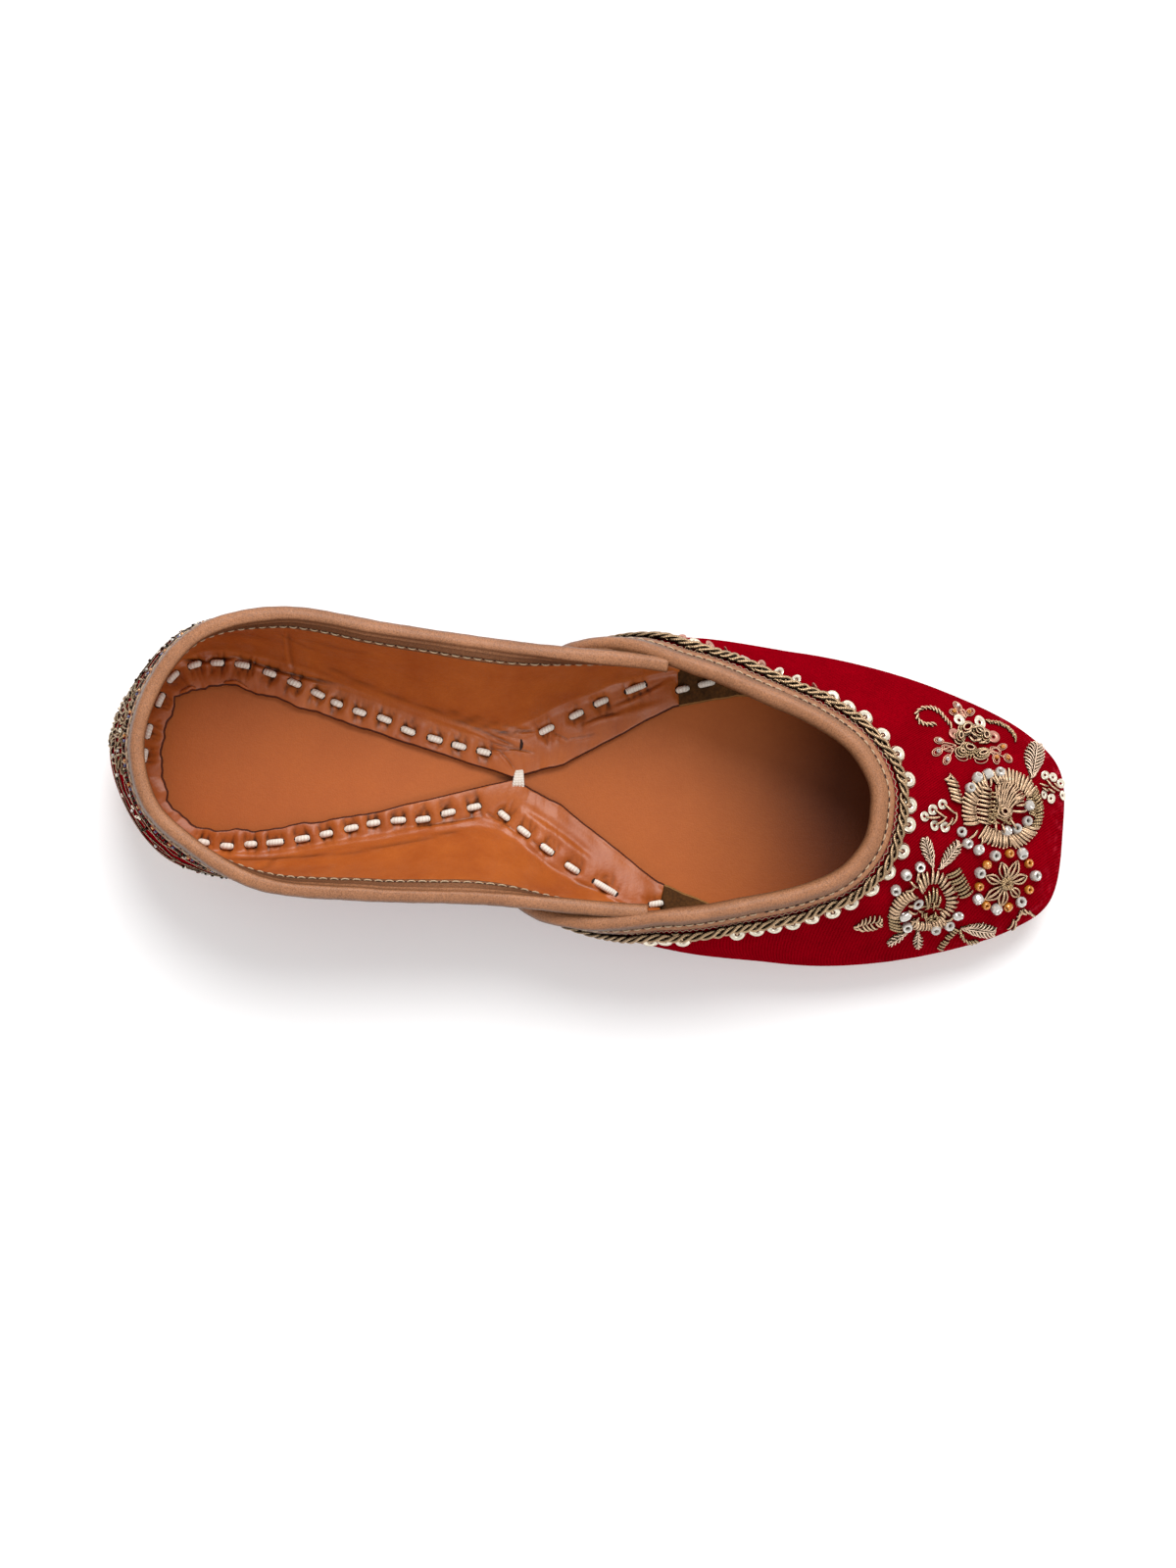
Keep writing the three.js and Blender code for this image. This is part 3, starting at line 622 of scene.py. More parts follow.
# Hand stitches through the turned-in margin: picture dots of the middle, and length in millimetres.
handStitches = {
    "backLeft": [(131, 650, 3.4), (133, 625, 3.6), (142, 592, 3.8), (153, 567, 3.6), (174, 553, 3.2),
                 (197, 549, 3.2), (223, 549, 3.9), (251, 555, 3.2), (277, 563, 3.3), (302, 572, 3.5),
                 (322, 580, 2.6), (346, 587, 3.2), (372, 592, 3.5), (397, 602, 3.6), (425, 608, 3.8),
                 (450, 613, 3.6), (476, 617, 3.5)],
    "frontLeft": [(538, 589, 4.0), (567, 571, 3.6), (591, 556, 3.8), (625, 539, 6.3)],
    "backRight": [(199, 733, 2.4), (223, 735, 2.9), (247, 731, 2.6), (272, 727, 4.6), (299, 721, 3.6),
                  (323, 714, 2.9), (348, 706, 3.2), (370, 699, 3.0), (395, 694, 3.6), (420, 691, 3.5),
                  (445, 682, 3.5), (471, 674, 3.3)],
    "frontRight": [(502, 680, 3.2), (524, 695, 3.7), (549, 711, 3.7), (576, 728, 4.0), (611, 745, 7.8)],
    "vampLeft": [(673, 536, 3.2), (697, 528, 4.4)],
    "vampRight": [(664, 757, 3.6)],
}


def marginHeight(x):
    return soleTop(x) + 2 * shoe["gap"] + shoe["insole"] + shoe["wall"]


# The front flap on the right side rises from its cut edge toward the wall.
flap = {"from": (515, 642), "to": (662, 738), "slope": 0.3}


def onFlap(p):
    # distance from the flap's cut edge, and a share that grows from the crossing to 1 along the flap
    start, end = atHeight([flap["from"], flap["to"]], 9.0)[:, :2]
    ahead = unit(end - start)
    away = p[..., :2] - start
    return away @ np.array([ahead[1], -ahead[0]]), ramp(away @ ahead, (2.0, 16.0)) * (p[..., 1] < 0)


def flapTilt(p):
    off, share = onFlap(p)
    return flap["slope"] * np.clip(off, 0, 10) * share


def stitchRows():
    # centre, direction and length of each stitch, row by row
    rows = []
    for row in handStitches.values():
        table = np.array(row, float)
        middle = atHeight(table[:, :2], marginHeight)
        middle[:, 2] += flapTilt(middle)
        if len(middle) > 1:
            heading = unit(np.gradient(middle, axis=0))
        else:
            heading = unit(np.array([[1.0, 0.25, 0.0]]))
        rows.append((middle, heading, table[:, 2]))
    return rows


stitched = stitchRows()
stitchMiddles, stitchHeadings, stitchLengths = (np.concatenate(part) for part in zip(*stitched))
stitchHalves = stitchHeadings * stitchLengths[:, None] * 0.42
stitchEnds = np.concatenate([stitchMiddles - stitchHalves, stitchMiddles + stitchHalves])
puckerHeadings = np.tile(stitchHeadings, (2, 1)) + rng.normal(0, 0.12, stitchEnds.shape)
puckerDepths = rng.uniform(0.45, 1.2, len(stitchEnds))


def offsetsFrom(p, middles, headings):
    # how far each point lies from each middle, along its heading and sideways
    away = p[..., None, :2] - middles[:, :2]
    lengthwise = (away * headings[:, :2]).sum(-1)
    return lengthwise, away[..., 0] * headings[:, 1] - away[..., 1] * headings[:, 0]


def puckers(p):
    # sharp folds that cross the margin at both ends of every stitch, and fade out sideways from it
    lengthwise, sideways = offsetsFrom(p, stitchEnds, puckerHeadings)
    return (puckerDepths * np.exp(-np.abs(lengthwise / 0.5) ** 1.3 - (sideways / 2.9) ** 2)).max(axis=-1)


wrinkleCount = 150
wrinkleFrom = rng.integers(0, len(stitchEnds), wrinkleCount)
wrinkleTurn = rng.normal(np.pi / 2, 0.5, wrinkleCount)
wrinkleHeadings = turned(stitchHeadings[wrinkleFrom % len(stitchHeadings)], wrinkleTurn)
wrinkleMiddles = stitchEnds[wrinkleFrom, :2] + wrinkleHeadings * rng.uniform(-2.4, 2.4, (wrinkleCount, 1))
wrinkleMiddles = wrinkleMiddles + rng.normal(0, 0.8, wrinkleMiddles.shape)


def wrinkles(p):
    # finer folds at random slants on both sides of the stitches
    lengthwise, sideways = offsetsFrom(p, wrinkleMiddles, wrinkleHeadings)
    return np.exp(-(lengthwise / 1.3) ** 2 - np.abs(sideways / 0.42) ** 1.5).sum(axis=-1)


def stitchPull(p):
    # depth by which the stitches pull the margin down, and how near the nearest one is
    lengthwise, sideways = offsetsFrom(p, stitchMiddles, stitchHeadings)
    near = np.exp(-(lengthwise / 1.7) ** 2 - (sideways / 1.1) ** 2)
    wide = np.exp(-(lengthwise / 2.2) ** 2 - (sideways / 3.2) ** 2)
    return near.max(axis=-1), wide.max(axis=-1)


def wavy(t, seed, waves):
    # a sum of sines of t with fixed phases, for soft unevenness; waves lists (period, height)
    phases = np.random.default_rng(seed).uniform(0, 2 * np.pi, len(waves))
    return sum(h * np.sin(2 * np.pi * t / period + f) for (period, h), f in zip(waves, phases))


# The two panels of the upper. Each section is a ring: outside up, lining down, margin in, and back under it.
panelRows = {"outside": 34, "lining": 34, "margin": 30, "edge": 4, "under": 3}


def panelSurface(sections, ribAt, lift, thickness, wallAt, reach, seed):
    # ribAt and lift give the rib and the distance off the last; thickness is the margin's, wallAt the wall's,
    # and reach the share of the margin's width that is there
    foot = ribAt(sections, 0.0)
    edge, cut = soleEdgeAt(foot), marginEdgeAt(foot)
    inwards = (cut - edge) * (1, 1, 0)
    width = np.linalg.norm(inwards, axis=-1)
    inwards = inwards / width[:, None]
    cut = edge + inwards * (width * reach(foot))[:, None]
    run = runAlong(edge)
    loose = 1 - 0.75 * ramp(ribFromHeel(foot), (2.5, 4.5))
    kink = 1.5 * np.exp(-((cut[:, 0] - 0.6) / 3.2) ** 2) * (cut[:, 1] > 10)
    ragged = loose * wavy(run, seed, ((9.3, 0.2), (15.0, 0.3), (3.9, 0.1))) - kink
    cut = cut + inwards * ragged[:, None]

    def rest(p):
        return soleTop(p[..., 0]) + 2 * shoe["gap"] + shoe["insole"]

    v = 1 - (1 - np.linspace(0, 1, panelRows["outside"])) ** 1.3
    outside = [offLast(ribAt(sections, k), np.full(len(sections), k), lift(ribAt(sections, k), k)) for k in v]
    # the lining starts at the height where its face meets the top of the margin
    low, high = np.zeros(len(sections)), np.full(len(sections), 0.6)
    top = rest(edge) + thickness
    for _ in range(14):
        middle = (low + high) / 2
        u = ribAt(sections, middle)
        under = offLast(u, middle, lift(u, middle) - wallAt(u))[:, 2] < top
        low, high = np.where(under, middle, low), np.where(under, high, middle)
    lining = []
    for k in 1 - (1 - np.linspace(0, 1, panelRows["lining"])) ** 1.2:
        h = k + high * (1 - k) ** 3
        u = ribAt(sections, h)
        lining.append(offLast(u, h, lift(u, h) - wallAt(u)))
    corner = lining[0]
    margin = []
    for w in np.linspace(0, 1, panelRows["margin"] + 1)[1:]:
        p = corner * (1 - w) + cut * w
        p[:, 2] = rest(p) + thickness
        margin.append(p)
    rim = [cut + inwards * s * 0.5 for s in (0.7, 1.0, 0.8, 0.0)]
    for p, share in zip(rim, (0.86, 0.6, 0.3, 0.08)):
        p[:, 2] = rest(p) + thickness * share
    climb = edge + inwards * (shoe["insoleInset"] - shoe["gap"])
    step = edge + inwards * (shoe["insoleInset"] - 2 * shoe["gap"])
    inside = climb * 0.5 + cut * 0.5
    inside[:, 2], climb[:, 2], step[:, 2] = rest(inside), rest(climb), edge[:, 2]
    return np.stack([*outside, *lining[::-1], *margin, *rim, inside, climb, step], axis=1), run


def ringParts():
    # first row of each stretch of the ring
    names = ("outside", "lining", "margin", "edge", "under")
    starts = np.concatenate([[0], np.cumsum([panelRows[n] for n in names])])
    return dict(zip(names, starts)), starts[-1]


starts, ringSize = ringParts()


def shapeLining(ring, run, seed, pleats, tilted=False):
    # rounds the crease where the lining turns into the margin, then pulls the margin in at its stitches
    if tilted:
        low = ring[:, starts["lining"]:starts["edge"]]
        low[..., 2] = np.maximum(low[..., 2], marginHeight(low[..., 0]) + flapTilt(low))
        rim = ring[:, starts["edge"]:starts["under"] - 1]
        rim[..., 2] += flapTilt(rim)
    turn = slice(starts["margin"] - 8, starts["margin"] + 7)
    ring[:, turn] = softened(ring[:, turn].swapaxes(0, 1), 14).swapaxes(0, 1)
    a, b = starts["margin"] - 2, starts["under"]
    band = ring[:, a:b]
    near, wide = stitchPull(band)
    across = np.linspace(0, 1, b - a)
    swell = np.sin(np.pi * np.clip(across, 0, 1)) ** 0.7
    folds = wavy(run, seed, ((2.3, 0.5), (3.4, 0.5), (1.5, 0.3)))[:, None]
    # the front flap lies smooth between its cut edge and its stitches
    off, share = onFlap(band)
    calm = pleats * (1 - 0.75 * share * (1 - ramp(off, (2.5, 5.5))) * (off > -3))
    lift = pleats * (0.95 * swell * (1 - wide) - 0.2 * wide - 0.8 * near)
    lift = lift - calm * 0.6 * puckers(band) * swell ** 0.5
    lift = lift + calm * (0.2 * folds * np.clip(wide * 1.5, 0.2, 1) - 0.3 * wrinkles(band)) * swell
    curl = wavy(run, seed + 1, ((19.0, 0.3), (8.0, 0.25)))[:, None] * np.clip(across * 2 - 1, 0, 1)
    band[..., 2] += lift + pleats * curl * 0.8
    crease = starts["margin"] - 2
    ring[:, crease - 1:crease + 2, 2] -= pleats * np.array([0.2, 0.55, 0.25])
    return ring


def creaseShade(ring):
    # how far each vertex of the lining lies under the mean of the surface round it
    a, b = starts["lining"] + 1, starts["under"]
    height = ring[:, a:b, 2]
    shade = np.zeros(ring.shape[:2])
    shade[:, a:b] = np.clip(softened(height, 10) - height, 0, 1)
    return shade


def liningCreases(ring, creases):
    # presses troughs into the lining and gives their depth at each vertex, for painted shade in them
    a, b = starts["lining"], starts["edge"] - 1
    wallPart = ring[:, a:b]
    troughs = np.zeros(ring.shape[:2])
    dots = toPicture(wallPart)
    around = np.gradient(wallPart, axis=0)
    down = np.gradient(wallPart, axis=1)
    normal = unit(np.cross(down, around))
    for x0, y0, x1, y1, width, depth, bow in creases:
        axis = np.array([x1 - x0, y1 - y0], float)
        reach = np.linalg.norm(axis)
        t = ((dots - (x0, y0)) @ axis) / reach ** 2
        off = ((dots - (x0, y0)) @ np.array([-axis[1], axis[0]])) / reach * 0.26
        off = off - bow * np.sin(np.pi * np.clip(t, 0, 1))
        fade = np.exp(-np.clip(np.abs(t - 0.5) - 0.3, 0, 9) ** 2 / 0.025)
        trough = depth * fade * np.exp(-(off / width) ** 2)
        ridge = 0.7 * depth * fade * np.exp(-((off - 1.7 * width) / width) ** 2)
        wallPart += normal * (ridge - trough)[..., None]
        troughs[:, a:b] += trough * np.exp(-(off / width) ** 2) * np.clip(1.1 - width, 0, 0.6)
    return troughs


def panelPiece(name, ring, run, shade, materials):
    count = len(ring)
    quads = gridFaces(count, ringSize, closedColumns=True)
    column = np.tile(np.arange(ringSize), count - 1)
    picks = np.select([column < starts["lining"] - 1, column < starts["edge"] - 1,
                       column < starts["under"]], [0, 1, 2], 1)
    # each end is closed by a strip between outside and lining, and one face over the foot
    k = np.arange(panelRows["outside"] - 1)
    strip = np.stack([k, k + 1, starts["margin"] - 2 - k, starts["margin"] - 1 - k], axis=1)
    strips = bothEnds(strip, count, ringSize)
    foot = np.concatenate([[0], np.arange(starts["margin"] - 1, ringSize)])
    feet = bothEnds(foot[None], count, ringSize)
    return meshPiece(name, ring, [quads, strips, feet], materials, ("upper",),
                     ringUv(run, ringSize, 1), [picks, np.full(len(strips), 2), [2, 2]], shade=shade)


# ends as picture dots, then width, depth and bow in millimetres
sideCreases = [
    (160, 549, 216, 541, 0.5, 0.5, 0.8), (214, 541, 326, 561, 0.5, 0.5, 0.7),
    (222, 748, 332, 733, 0.5, 0.4, 0.3), (266, 508, 275, 550, 0.6, 0.3, 0.4),
    (252, 512, 300, 530, 0.5, 0.2, 0.3), (236, 540, 232, 560, 0.4, 0.3, 0.1),
    (300, 506, 420, 530, 1.3, 0.25, 1.2), (520, 540, 640, 528, 1.6, 0.3, 1.0),
    (560, 575, 655, 545, 1.0, 0.25, 0.6), (180, 524, 250, 522, 0.9, 0.35, -0.8),
    (275, 517, 360, 527, 0.6, 0.2, 0.5), (300, 540, 400, 574, 0.6, 0.35, 0.5),
    (400, 574, 515, 611, 0.55, 0.45, -0.4), (430, 575, 512, 600, 0.6, 0.4, 0.6),
    (455, 580, 520, 592, 0.7, 0.35, 0.4), (480, 613, 509, 612, 0.35, 0.35, 0.2),
    (482, 606, 528, 613, 0.4, 0.4, 0.3), (480, 596, 528, 590, 0.45, 0.4, 0.4),
    (490, 613, 509, 632, 0.4, 0.3, -0.3), (546, 592, 561, 598, 0.35, 0.35, -0.2),
    (574, 580, 612, 565, 0.5, 0.4, -0.5), (560, 596, 590, 588, 0.4, 0.25, 0.2),
    (600, 560, 655, 528, 0.5, 0.3, 0.4), (230, 752, 340, 742, 1.0, 0.25, 0.8),
    (330, 735, 470, 694, 0.6, 0.4, 0.5), (480, 742, 590, 748, 1.3, 0.25, 0.6),
    (410, 699, 478, 682, 0.5, 0.4, 0.3), (483, 678, 502, 686, 0.4, 0.35, 0.2),
    (503, 687, 516, 696, 0.35, 0.4, 0.1), (530, 702, 547, 715, 0.4, 0.35, -0.2),
    (520, 668, 600, 716, 1.1, 0.45, -0.5), (255, 757, 275, 742, 0.7, 0.3, 0.2),
    (575, 742, 618, 752, 0.6, 0.3, -0.3),
]
quarters = {"sections": 860, "seed": 3, "foldSeed": 5, "pleats": 1.0, "dip": 1.3, "dipRibs": (6.8, 6.95)}
quarterSections = np.linspace(-shoe["quarterEnd"], shoe["quarterEnd"], quarters["sections"])
quarterRing, quarterRun = panelSurface(quarterSections, lambda s, v: s + 0 * v, noLift, shoe["wall"],
                                       lambda u: shoe["wall"], lambda u: u * 0 + 1, quarters["seed"])
# the ends of its top edge dip under the vamp's binding
topRows = np.abs(np.arange(ringSize) - starts["lining"])
dip = quarters["dip"] * ramp(np.abs(quarterSections), quarters["dipRibs"])[:, None]
quarterRing[..., 2] -= dip * (1 - ramp(topRows, (2.0, 9.0)))
quarterRing = shapeLining(quarterRing, quarterRun, quarters["foldSeed"], quarters["pleats"], True)
quarterShade = creaseShade(quarterRing)
quarterShade += liningCreases(quarterRing, sideCreases)
panelPiece("quarters", quarterRing, quarterRun, quarterShade, [velvet, liningLeather, rawLeather])

vampPanel = {"sections": 380, "seed": 9, "foldSeed": 8, "pleats": 0.4}
vampShares = np.linspace(0, 1, vampPanel["sections"])


def vampReach(u):
    # its margin stays short where the quarters' margin covers it
    return 0.2 + 0.8 * ramp(ribFromHeel(u), (6.7, 7.1))


def vampWall(u):
    # where it laps the quarters its inside stays off their lining
    return shoe["wall"] - 0.5 * (1 - ramp(ribFromHeel(u), (7.0, 7.4)))


vampThickness = shoe["wall"] - 0.4 - 0.9 * (1 - ramp(ribFromHeel(vampRib(vampShares, 0.0)), (6.8, 7.2)))
vampRing, vampRun = panelSurface(vampShares, vampRib, lapOffset, vampThickness, vampWall, vampReach,
                                 vampPanel["seed"])
vampRing = shapeLining(vampRing, vampRun, vampPanel["foldSeed"], vampPanel["pleats"])
panelPiece("vamp", vampRing, vampRun, creaseShade(vampRing), [velvet, vampLining, edgeLeather])
print("panels", flush=True)

# Footbed and sole: rings of points at stations along the shoe.
footbed = {"stations": 220, "across": 40, "rounding": 0.3, "outward": 0.4, "dish": 0.25}
soleSlab = {"stations": 260, "across": 44, "rounding": 0.7}


def outlineOf(inset):
    # the sole's outline moved inwards (or outwards below zero), as its left and right chains by x
    u = np.linspace(0, ribs, 1041)[:-1]
    p = soleEdgeAt(u)[:, :2]
    ahead = unit(np.roll(p, -1, axis=0) - np.roll(p, 1, axis=0))
    p = p + np.stack([ahead[:, 1], -ahead[:, 0]], axis=1) * inset
    return p[:521], np.concatenate([p[520:], p[:1]])[::-1]


def slab(inset, top, bottom, stations, across, rounding):
    # each ring runs over the top from left to right, round the edge, and back underneath
    left, right = outlineOf(inset)
    x0, x1 = max(left[:, 0].min(), right[:, 0].min()), min(left[:, 0].max(), right[:, 0].max())
    t = (1 - np.cos(np.linspace(0.012, np.pi - 0.012, stations))) / 2
    x = x0 + (x1 - x0) * t
    breast = along(shoe["heelBreast"])
    x = np.sort(np.concatenate([x, [breast - 0.05, breast + 0.45]]))
    order = np.argsort(left[:, 0])
    yl = np.interp(x, left[order, 0], left[order, 1])
    order = np.argsort(right[:, 0])
    yr = np.interp(x, right[order, 0], right[order, 1])
    w = np.sin(np.linspace(-np.pi / 2, np.pi / 2, across)) * 0.5 + 0.5
    zTop, zBottom = top(x), bottom(x)
    deep = zTop - zBottom
    lower = np.minimum(rounding, deep / 2.2)[:, None]
    edgeFall = lower * (np.abs(2 * w - 1) ** 14)
    y = yl[:, None] * (1 - w) + yr[:, None] * w
    over = np.stack([np.broadcast_to(x[:, None], y.shape), y, zTop[:, None] - edgeFall], axis=-1)
    under = np.stack([np.broadcast_to(x[:, None], y.shape), y, zBottom[:, None] + edgeFall], axis=-1)[:, ::-1]
    return np.concatenate([over, under], axis=1)


def slabPiece(name, ring, material, node):
    count, size = ring.shape[:2]
    quads = gridFaces(count, size, closedColumns=True)[:, ::-1]
    k = np.arange(size // 2 - 1)
    caps = bothEnds(np.stack([k, k + 1, size - 2 - k, size - 1 - k], axis=1), count, size)
    return meshPiece(name, ring, [quads, caps], [material], (node,))


def footbedTop(x):
    return soleTop(x) + shoe["gap"] + shoe["insole"]


footbedRing = slab(shoe["insoleInset"] - footbed["outward"], footbedTop, lambda x: soleTop(x) + shoe["gap"],
                   footbed["stations"], footbed["across"], footbed["rounding"])
# the heel has pressed a shallow dish
dish = np.exp(-((footbedRing[..., 0] - 5) / 28) ** 2 - (footbedRing[..., 1] / 20) ** 2)
footbedRing[:, :footbed["across"], 2] -= footbed["dish"] * dish[:, :footbed["across"]]
slabPiece("footbed", footbedRing, footbedLeather, "insole")


def underSole(x):
    breast = along(shoe["heelBreast"])
    return np.where(x < breast, 0.0, soleTop(x) - shoe["outsole"])


soleRing = slab(-shoe["soleMargin"], soleTop, underSole, soleSlab["stations"], soleSlab["across"],
                soleSlab["rounding"])
slabPiece("sole", soleRing, soleLeather, "outsole")
print("sole", flush=True)


# Bindings: a strip of leather folded over an edge. Depth is measured from the edge into the panel.
strip = {"thickness": 0.65, "flangeRows": 14, "rollRows": 13, "underRows": 4}


def pathFrames(path, lift):
    u, v = path[:, 0], path[:, 1]
    edge = offLast(u, v, lift(u, v))
    around, up, out = frameAt(u, v)
    tangent = unit(np.gradient(edge, axis=0))
    into = unit(np.cross(tangent, out))
    into = np.where((into * up).sum(-1, keepdims=True) > 0, -into, into)
    into = unit(softened(into, 3))
    run = runAlong(edge)
    return {"u": u, "v": v, "edge": edge, "out": out, "into": into, "run": run, "lift": lift}


def ribbonSpot(frames, depth, distance):
    # walks over the last from the edge by a depth, then stands off it by a distance
    u, v, into = frames["u"], frames["v"], frames["into"]
    depth = np.broadcast_to(np.asarray(depth, float), u.shape)
    for _ in range(4):
        around, up, _ = frameAt(u, v)
        a, b, c = (around * around).sum(-1), (around * up).sum(-1), (up * up).sum(-1)
        p, q = (into * around).sum(-1), (into * up).sum(-1)
        det = a * c - b * b
        u = u + depth / 4 * (c * p - b * q) / det
        v = np.clip(v + depth / 4 * (a * q - b * p) / det, 0.01, 1.0)
    return offLast(u, v, frames["lift"](u, v) + distance)


def leaning(depth, lean):
    # how far an inner flange stands off the lining, more and more with its depth
    return lean * smooth(depth / 4.2)


def rolled(frames, outside, inside, stitches, thickness, roll, cover, seed, lean=0.0):
    # profile of the folded strip: up the outer flange, round the roll, and down the inner flange; stitches
    # gives the depth of the groove on either side, toward which the strip swells from the roll
    wall, gap = shoe["wall"], shoe["gap"]
    out, into, edge = frames["out"], frames["into"], frames["edge"]
    uneven = wavy(frames["run"], seed, ((31.0, 0.05), (13.0, 0.04), (5.3, 0.025)))
    middle = edge - out * (cover / 2)[:, None]
    half = cover / 2 + gap

    def stance(depth, width, groove, puff=0.9):
        end = np.clip((width - depth) * 2.5, 0, 1)
        puffed = roll * puff * np.exp(-(depth / 1.6) ** 2) - 0.32 * np.exp(-((depth - groove) / 0.42) ** 2)
        return gap + (thickness + uneven + puffed) * (0.4 + 0.6 * np.sqrt(end))

    rows = []
    for share in np.linspace(1.0, 0.12, strip["flangeRows"]):
        depth = outside * share
        rows.append(ribbonSpot(frames, depth, stance(depth, outside, stitches[0])))
    for angle in np.linspace(0, np.pi, strip["rollRows"]):
        narrowed = 1 - 0.28 * (lean > 0) * smooth(angle / np.pi * 2 - 1)
        wide = (half + thickness + roll * (0.85 + 0.25 * np.sin(angle)) + uneven)[:, None] * narrowed
        rise = gap + thickness + roll + 0.45
        rows.append(middle + out * np.cos(angle) * wide - into * (np.sin(angle) * rise - 0.2))
    shoulder = rows[-1]
    full = np.clip(inside / 1.0, 0, 1)
    for share in np.linspace(0.12, 1.0, strip["flangeRows"]):
        depth = np.maximum(inside * share, 0.05)
        stood = stance(depth, inside, stitches[1], 0.9 * (lean == 0)) + leaning(depth, lean)
        flange = ribbonSpot(frames, depth, -wall - stood)
        rows.append(flange * full[:, None] + shoulder * (1 - full[:, None]))
    for share in np.linspace(1.0, 0.2, strip["underRows"]):
        back = ribbonSpot(frames, np.maximum(inside * share, 0.05), -wall - gap * 0.4)
        rows.append(back * full[:, None] + (shoulder + out * 0.3) * (1 - full[:, None]))
    rows.append(edge - out * (cover * 0.5)[:, None] - into * 0.1)
    for share in np.linspace(0.25, 1.0, strip["underRows"]):
        rows.append(ribbonSpot(frames, outside * share, gap * 0.4))
    return np.stack(rows, axis=1)


def rolledPiece(name, ring, run, material, node):
    # painted shade: the leather is darker low on the flanges and where its surface turns down
    count, size = ring.shape[:2]
    around, across = np.gradient(ring, axis=0), np.gradient(ring, axis=1)
    up = unit(np.cross(around, across))[..., 2]
    crown = strip["flangeRows"] + strip["rollRows"] // 2
    up = up if up[count // 2, crown] > 0 else -up
    shade = 0.34 * ramp(-up, (-0.95, -0.1))
    inner = strip["flangeRows"] + strip["rollRows"] + 1
    shade[:, inner:inner + strip["flangeRows"]] += 0.08
    quads = gridFaces(count, size, closedColumns=True)
    caps = bothEnds(np.arange(size)[None], count, size)
    return meshPiece(name, ring, [quads, caps], [material], (node,), ringUv(run, size, 30), shade=shade)


# widths of the flanges, depths of the stitches outside and inside, and lean of the inner flange
collarStrip = {"frames": 620, "reach": 6.96, "outer": (0.2, 4.2), "lapGap": 1.4, "inner": 5.0,
               "stitches": (3.0, 3.6), "roll": 0.4, "seed": 21, "lean": 0.75}
throatStrip = {"frames": 820, "outer": 4.5, "inner": 2.8, "innerFrom": 7.3, "stitches": (2.6, 9.0),
               "roll": 0.45, "seed": 33}
collarEvery = np.ones(collarStrip["frames"])
collarPath = np.stack([collarEvery, collarEvery], axis=1)
collarPath[:, 0] = np.linspace(-collarStrip["reach"], collarStrip["reach"], collarStrip["frames"])
collar = pathFrames(collarPath, noLift)
collarOutside = np.clip(lapDepth(collar["u"]) - collarStrip["lapGap"], *collarStrip["outer"])
collarRing = rolled(collar, collarOutside, collarEvery * collarStrip["inner"], collarStrip["stitches"],
                    strip["thickness"], collarStrip["roll"], collarEvery * shoe["wall"], collarStrip["seed"],
                    collarStrip["lean"])
rolledPiece("collarBinding", collarRing, collar["run"], bindingLeather, "collar_binding")


def throatPath(count):
    # up the vamp's left rear edge, round the throat and down the right rear edge, evenly spaced
    v = np.linspace(0.1, 1, 160) ** 0.6
    v = np.clip((v - v[0]) / (1 - v[0]) * 0.9 + 0.1, 0, 1)
    shares = np.linspace(0, 1, 400)[1:-1]
    path = np.concatenate([
        np.stack([vampRib(0.0, v), v], axis=1), np.stack([vampRib(shares, 1.0), shares * 0 + 1], axis=1),
        np.stack([vampRib(1.0, v), v], axis=1)[::-1]])
    edge = vampPoint(path[:, 0], path[:, 1])
    run = runAlong(edge)
    even = np.stack([np.interp(np.linspace(0, run[-1], count), run, path[:, k]) for k in range(2)], axis=1)
    return softened(even, 60)


throat = pathFrames(throatPath(throatStrip["frames"]), lapOffset)
away = ribFromHeel(throat["u"])
innerFrom = throatStrip["innerFrom"]
throatInside = np.where(away > innerFrom, throatStrip["inner"] * ramp(away, (innerFrom, innerFrom + 0.3)), 0.0)
lapped = (shoe["lapBond"] + shoe["gap"]) * (1 - flare(throat["u"], throat["v"])) * (1 - ramp(away, (7.1, 7.3)))
throatRing = rolled(throat, throatStrip["outer"] + 0 * away, throatInside, throatStrip["stitches"],
                    strip["thickness"], throatStrip["roll"], shoe["wall"] - lapped, throatStrip["seed"])
rolledPiece("throatBinding", throatRing, throat["run"], bindingLeather, "throat_binding")
print("bindings", flush=True)


def alongBinding(frames, depth, distance, at):
    # points and outward directions at runs along a binding's path, on the surface by a depth from the edge
    run = frames["run"]
    flatAt = np.asarray(at, float).ravel()
    u, v, *into = (np.interp(flatAt, run, values) for values in (frames["u"], frames["v"], *frames["into"].T))
    part = {"u": u, "v": v, "into": unit(np.stack(into, axis=1)), "lift": frames["lift"]}
    depth, distance = (np.broadcast_to(np.asarray(value, float), np.shape(at)).ravel()
                       for value in (depth, distance))
    points = ribbonSpot(part, depth, distance)
    spot = ribbonSpot(part, depth, distance + 1.0)
    shape = np.shape(at) + (3,)
    return points.reshape(shape), unit(spot - points).reshape(shape)


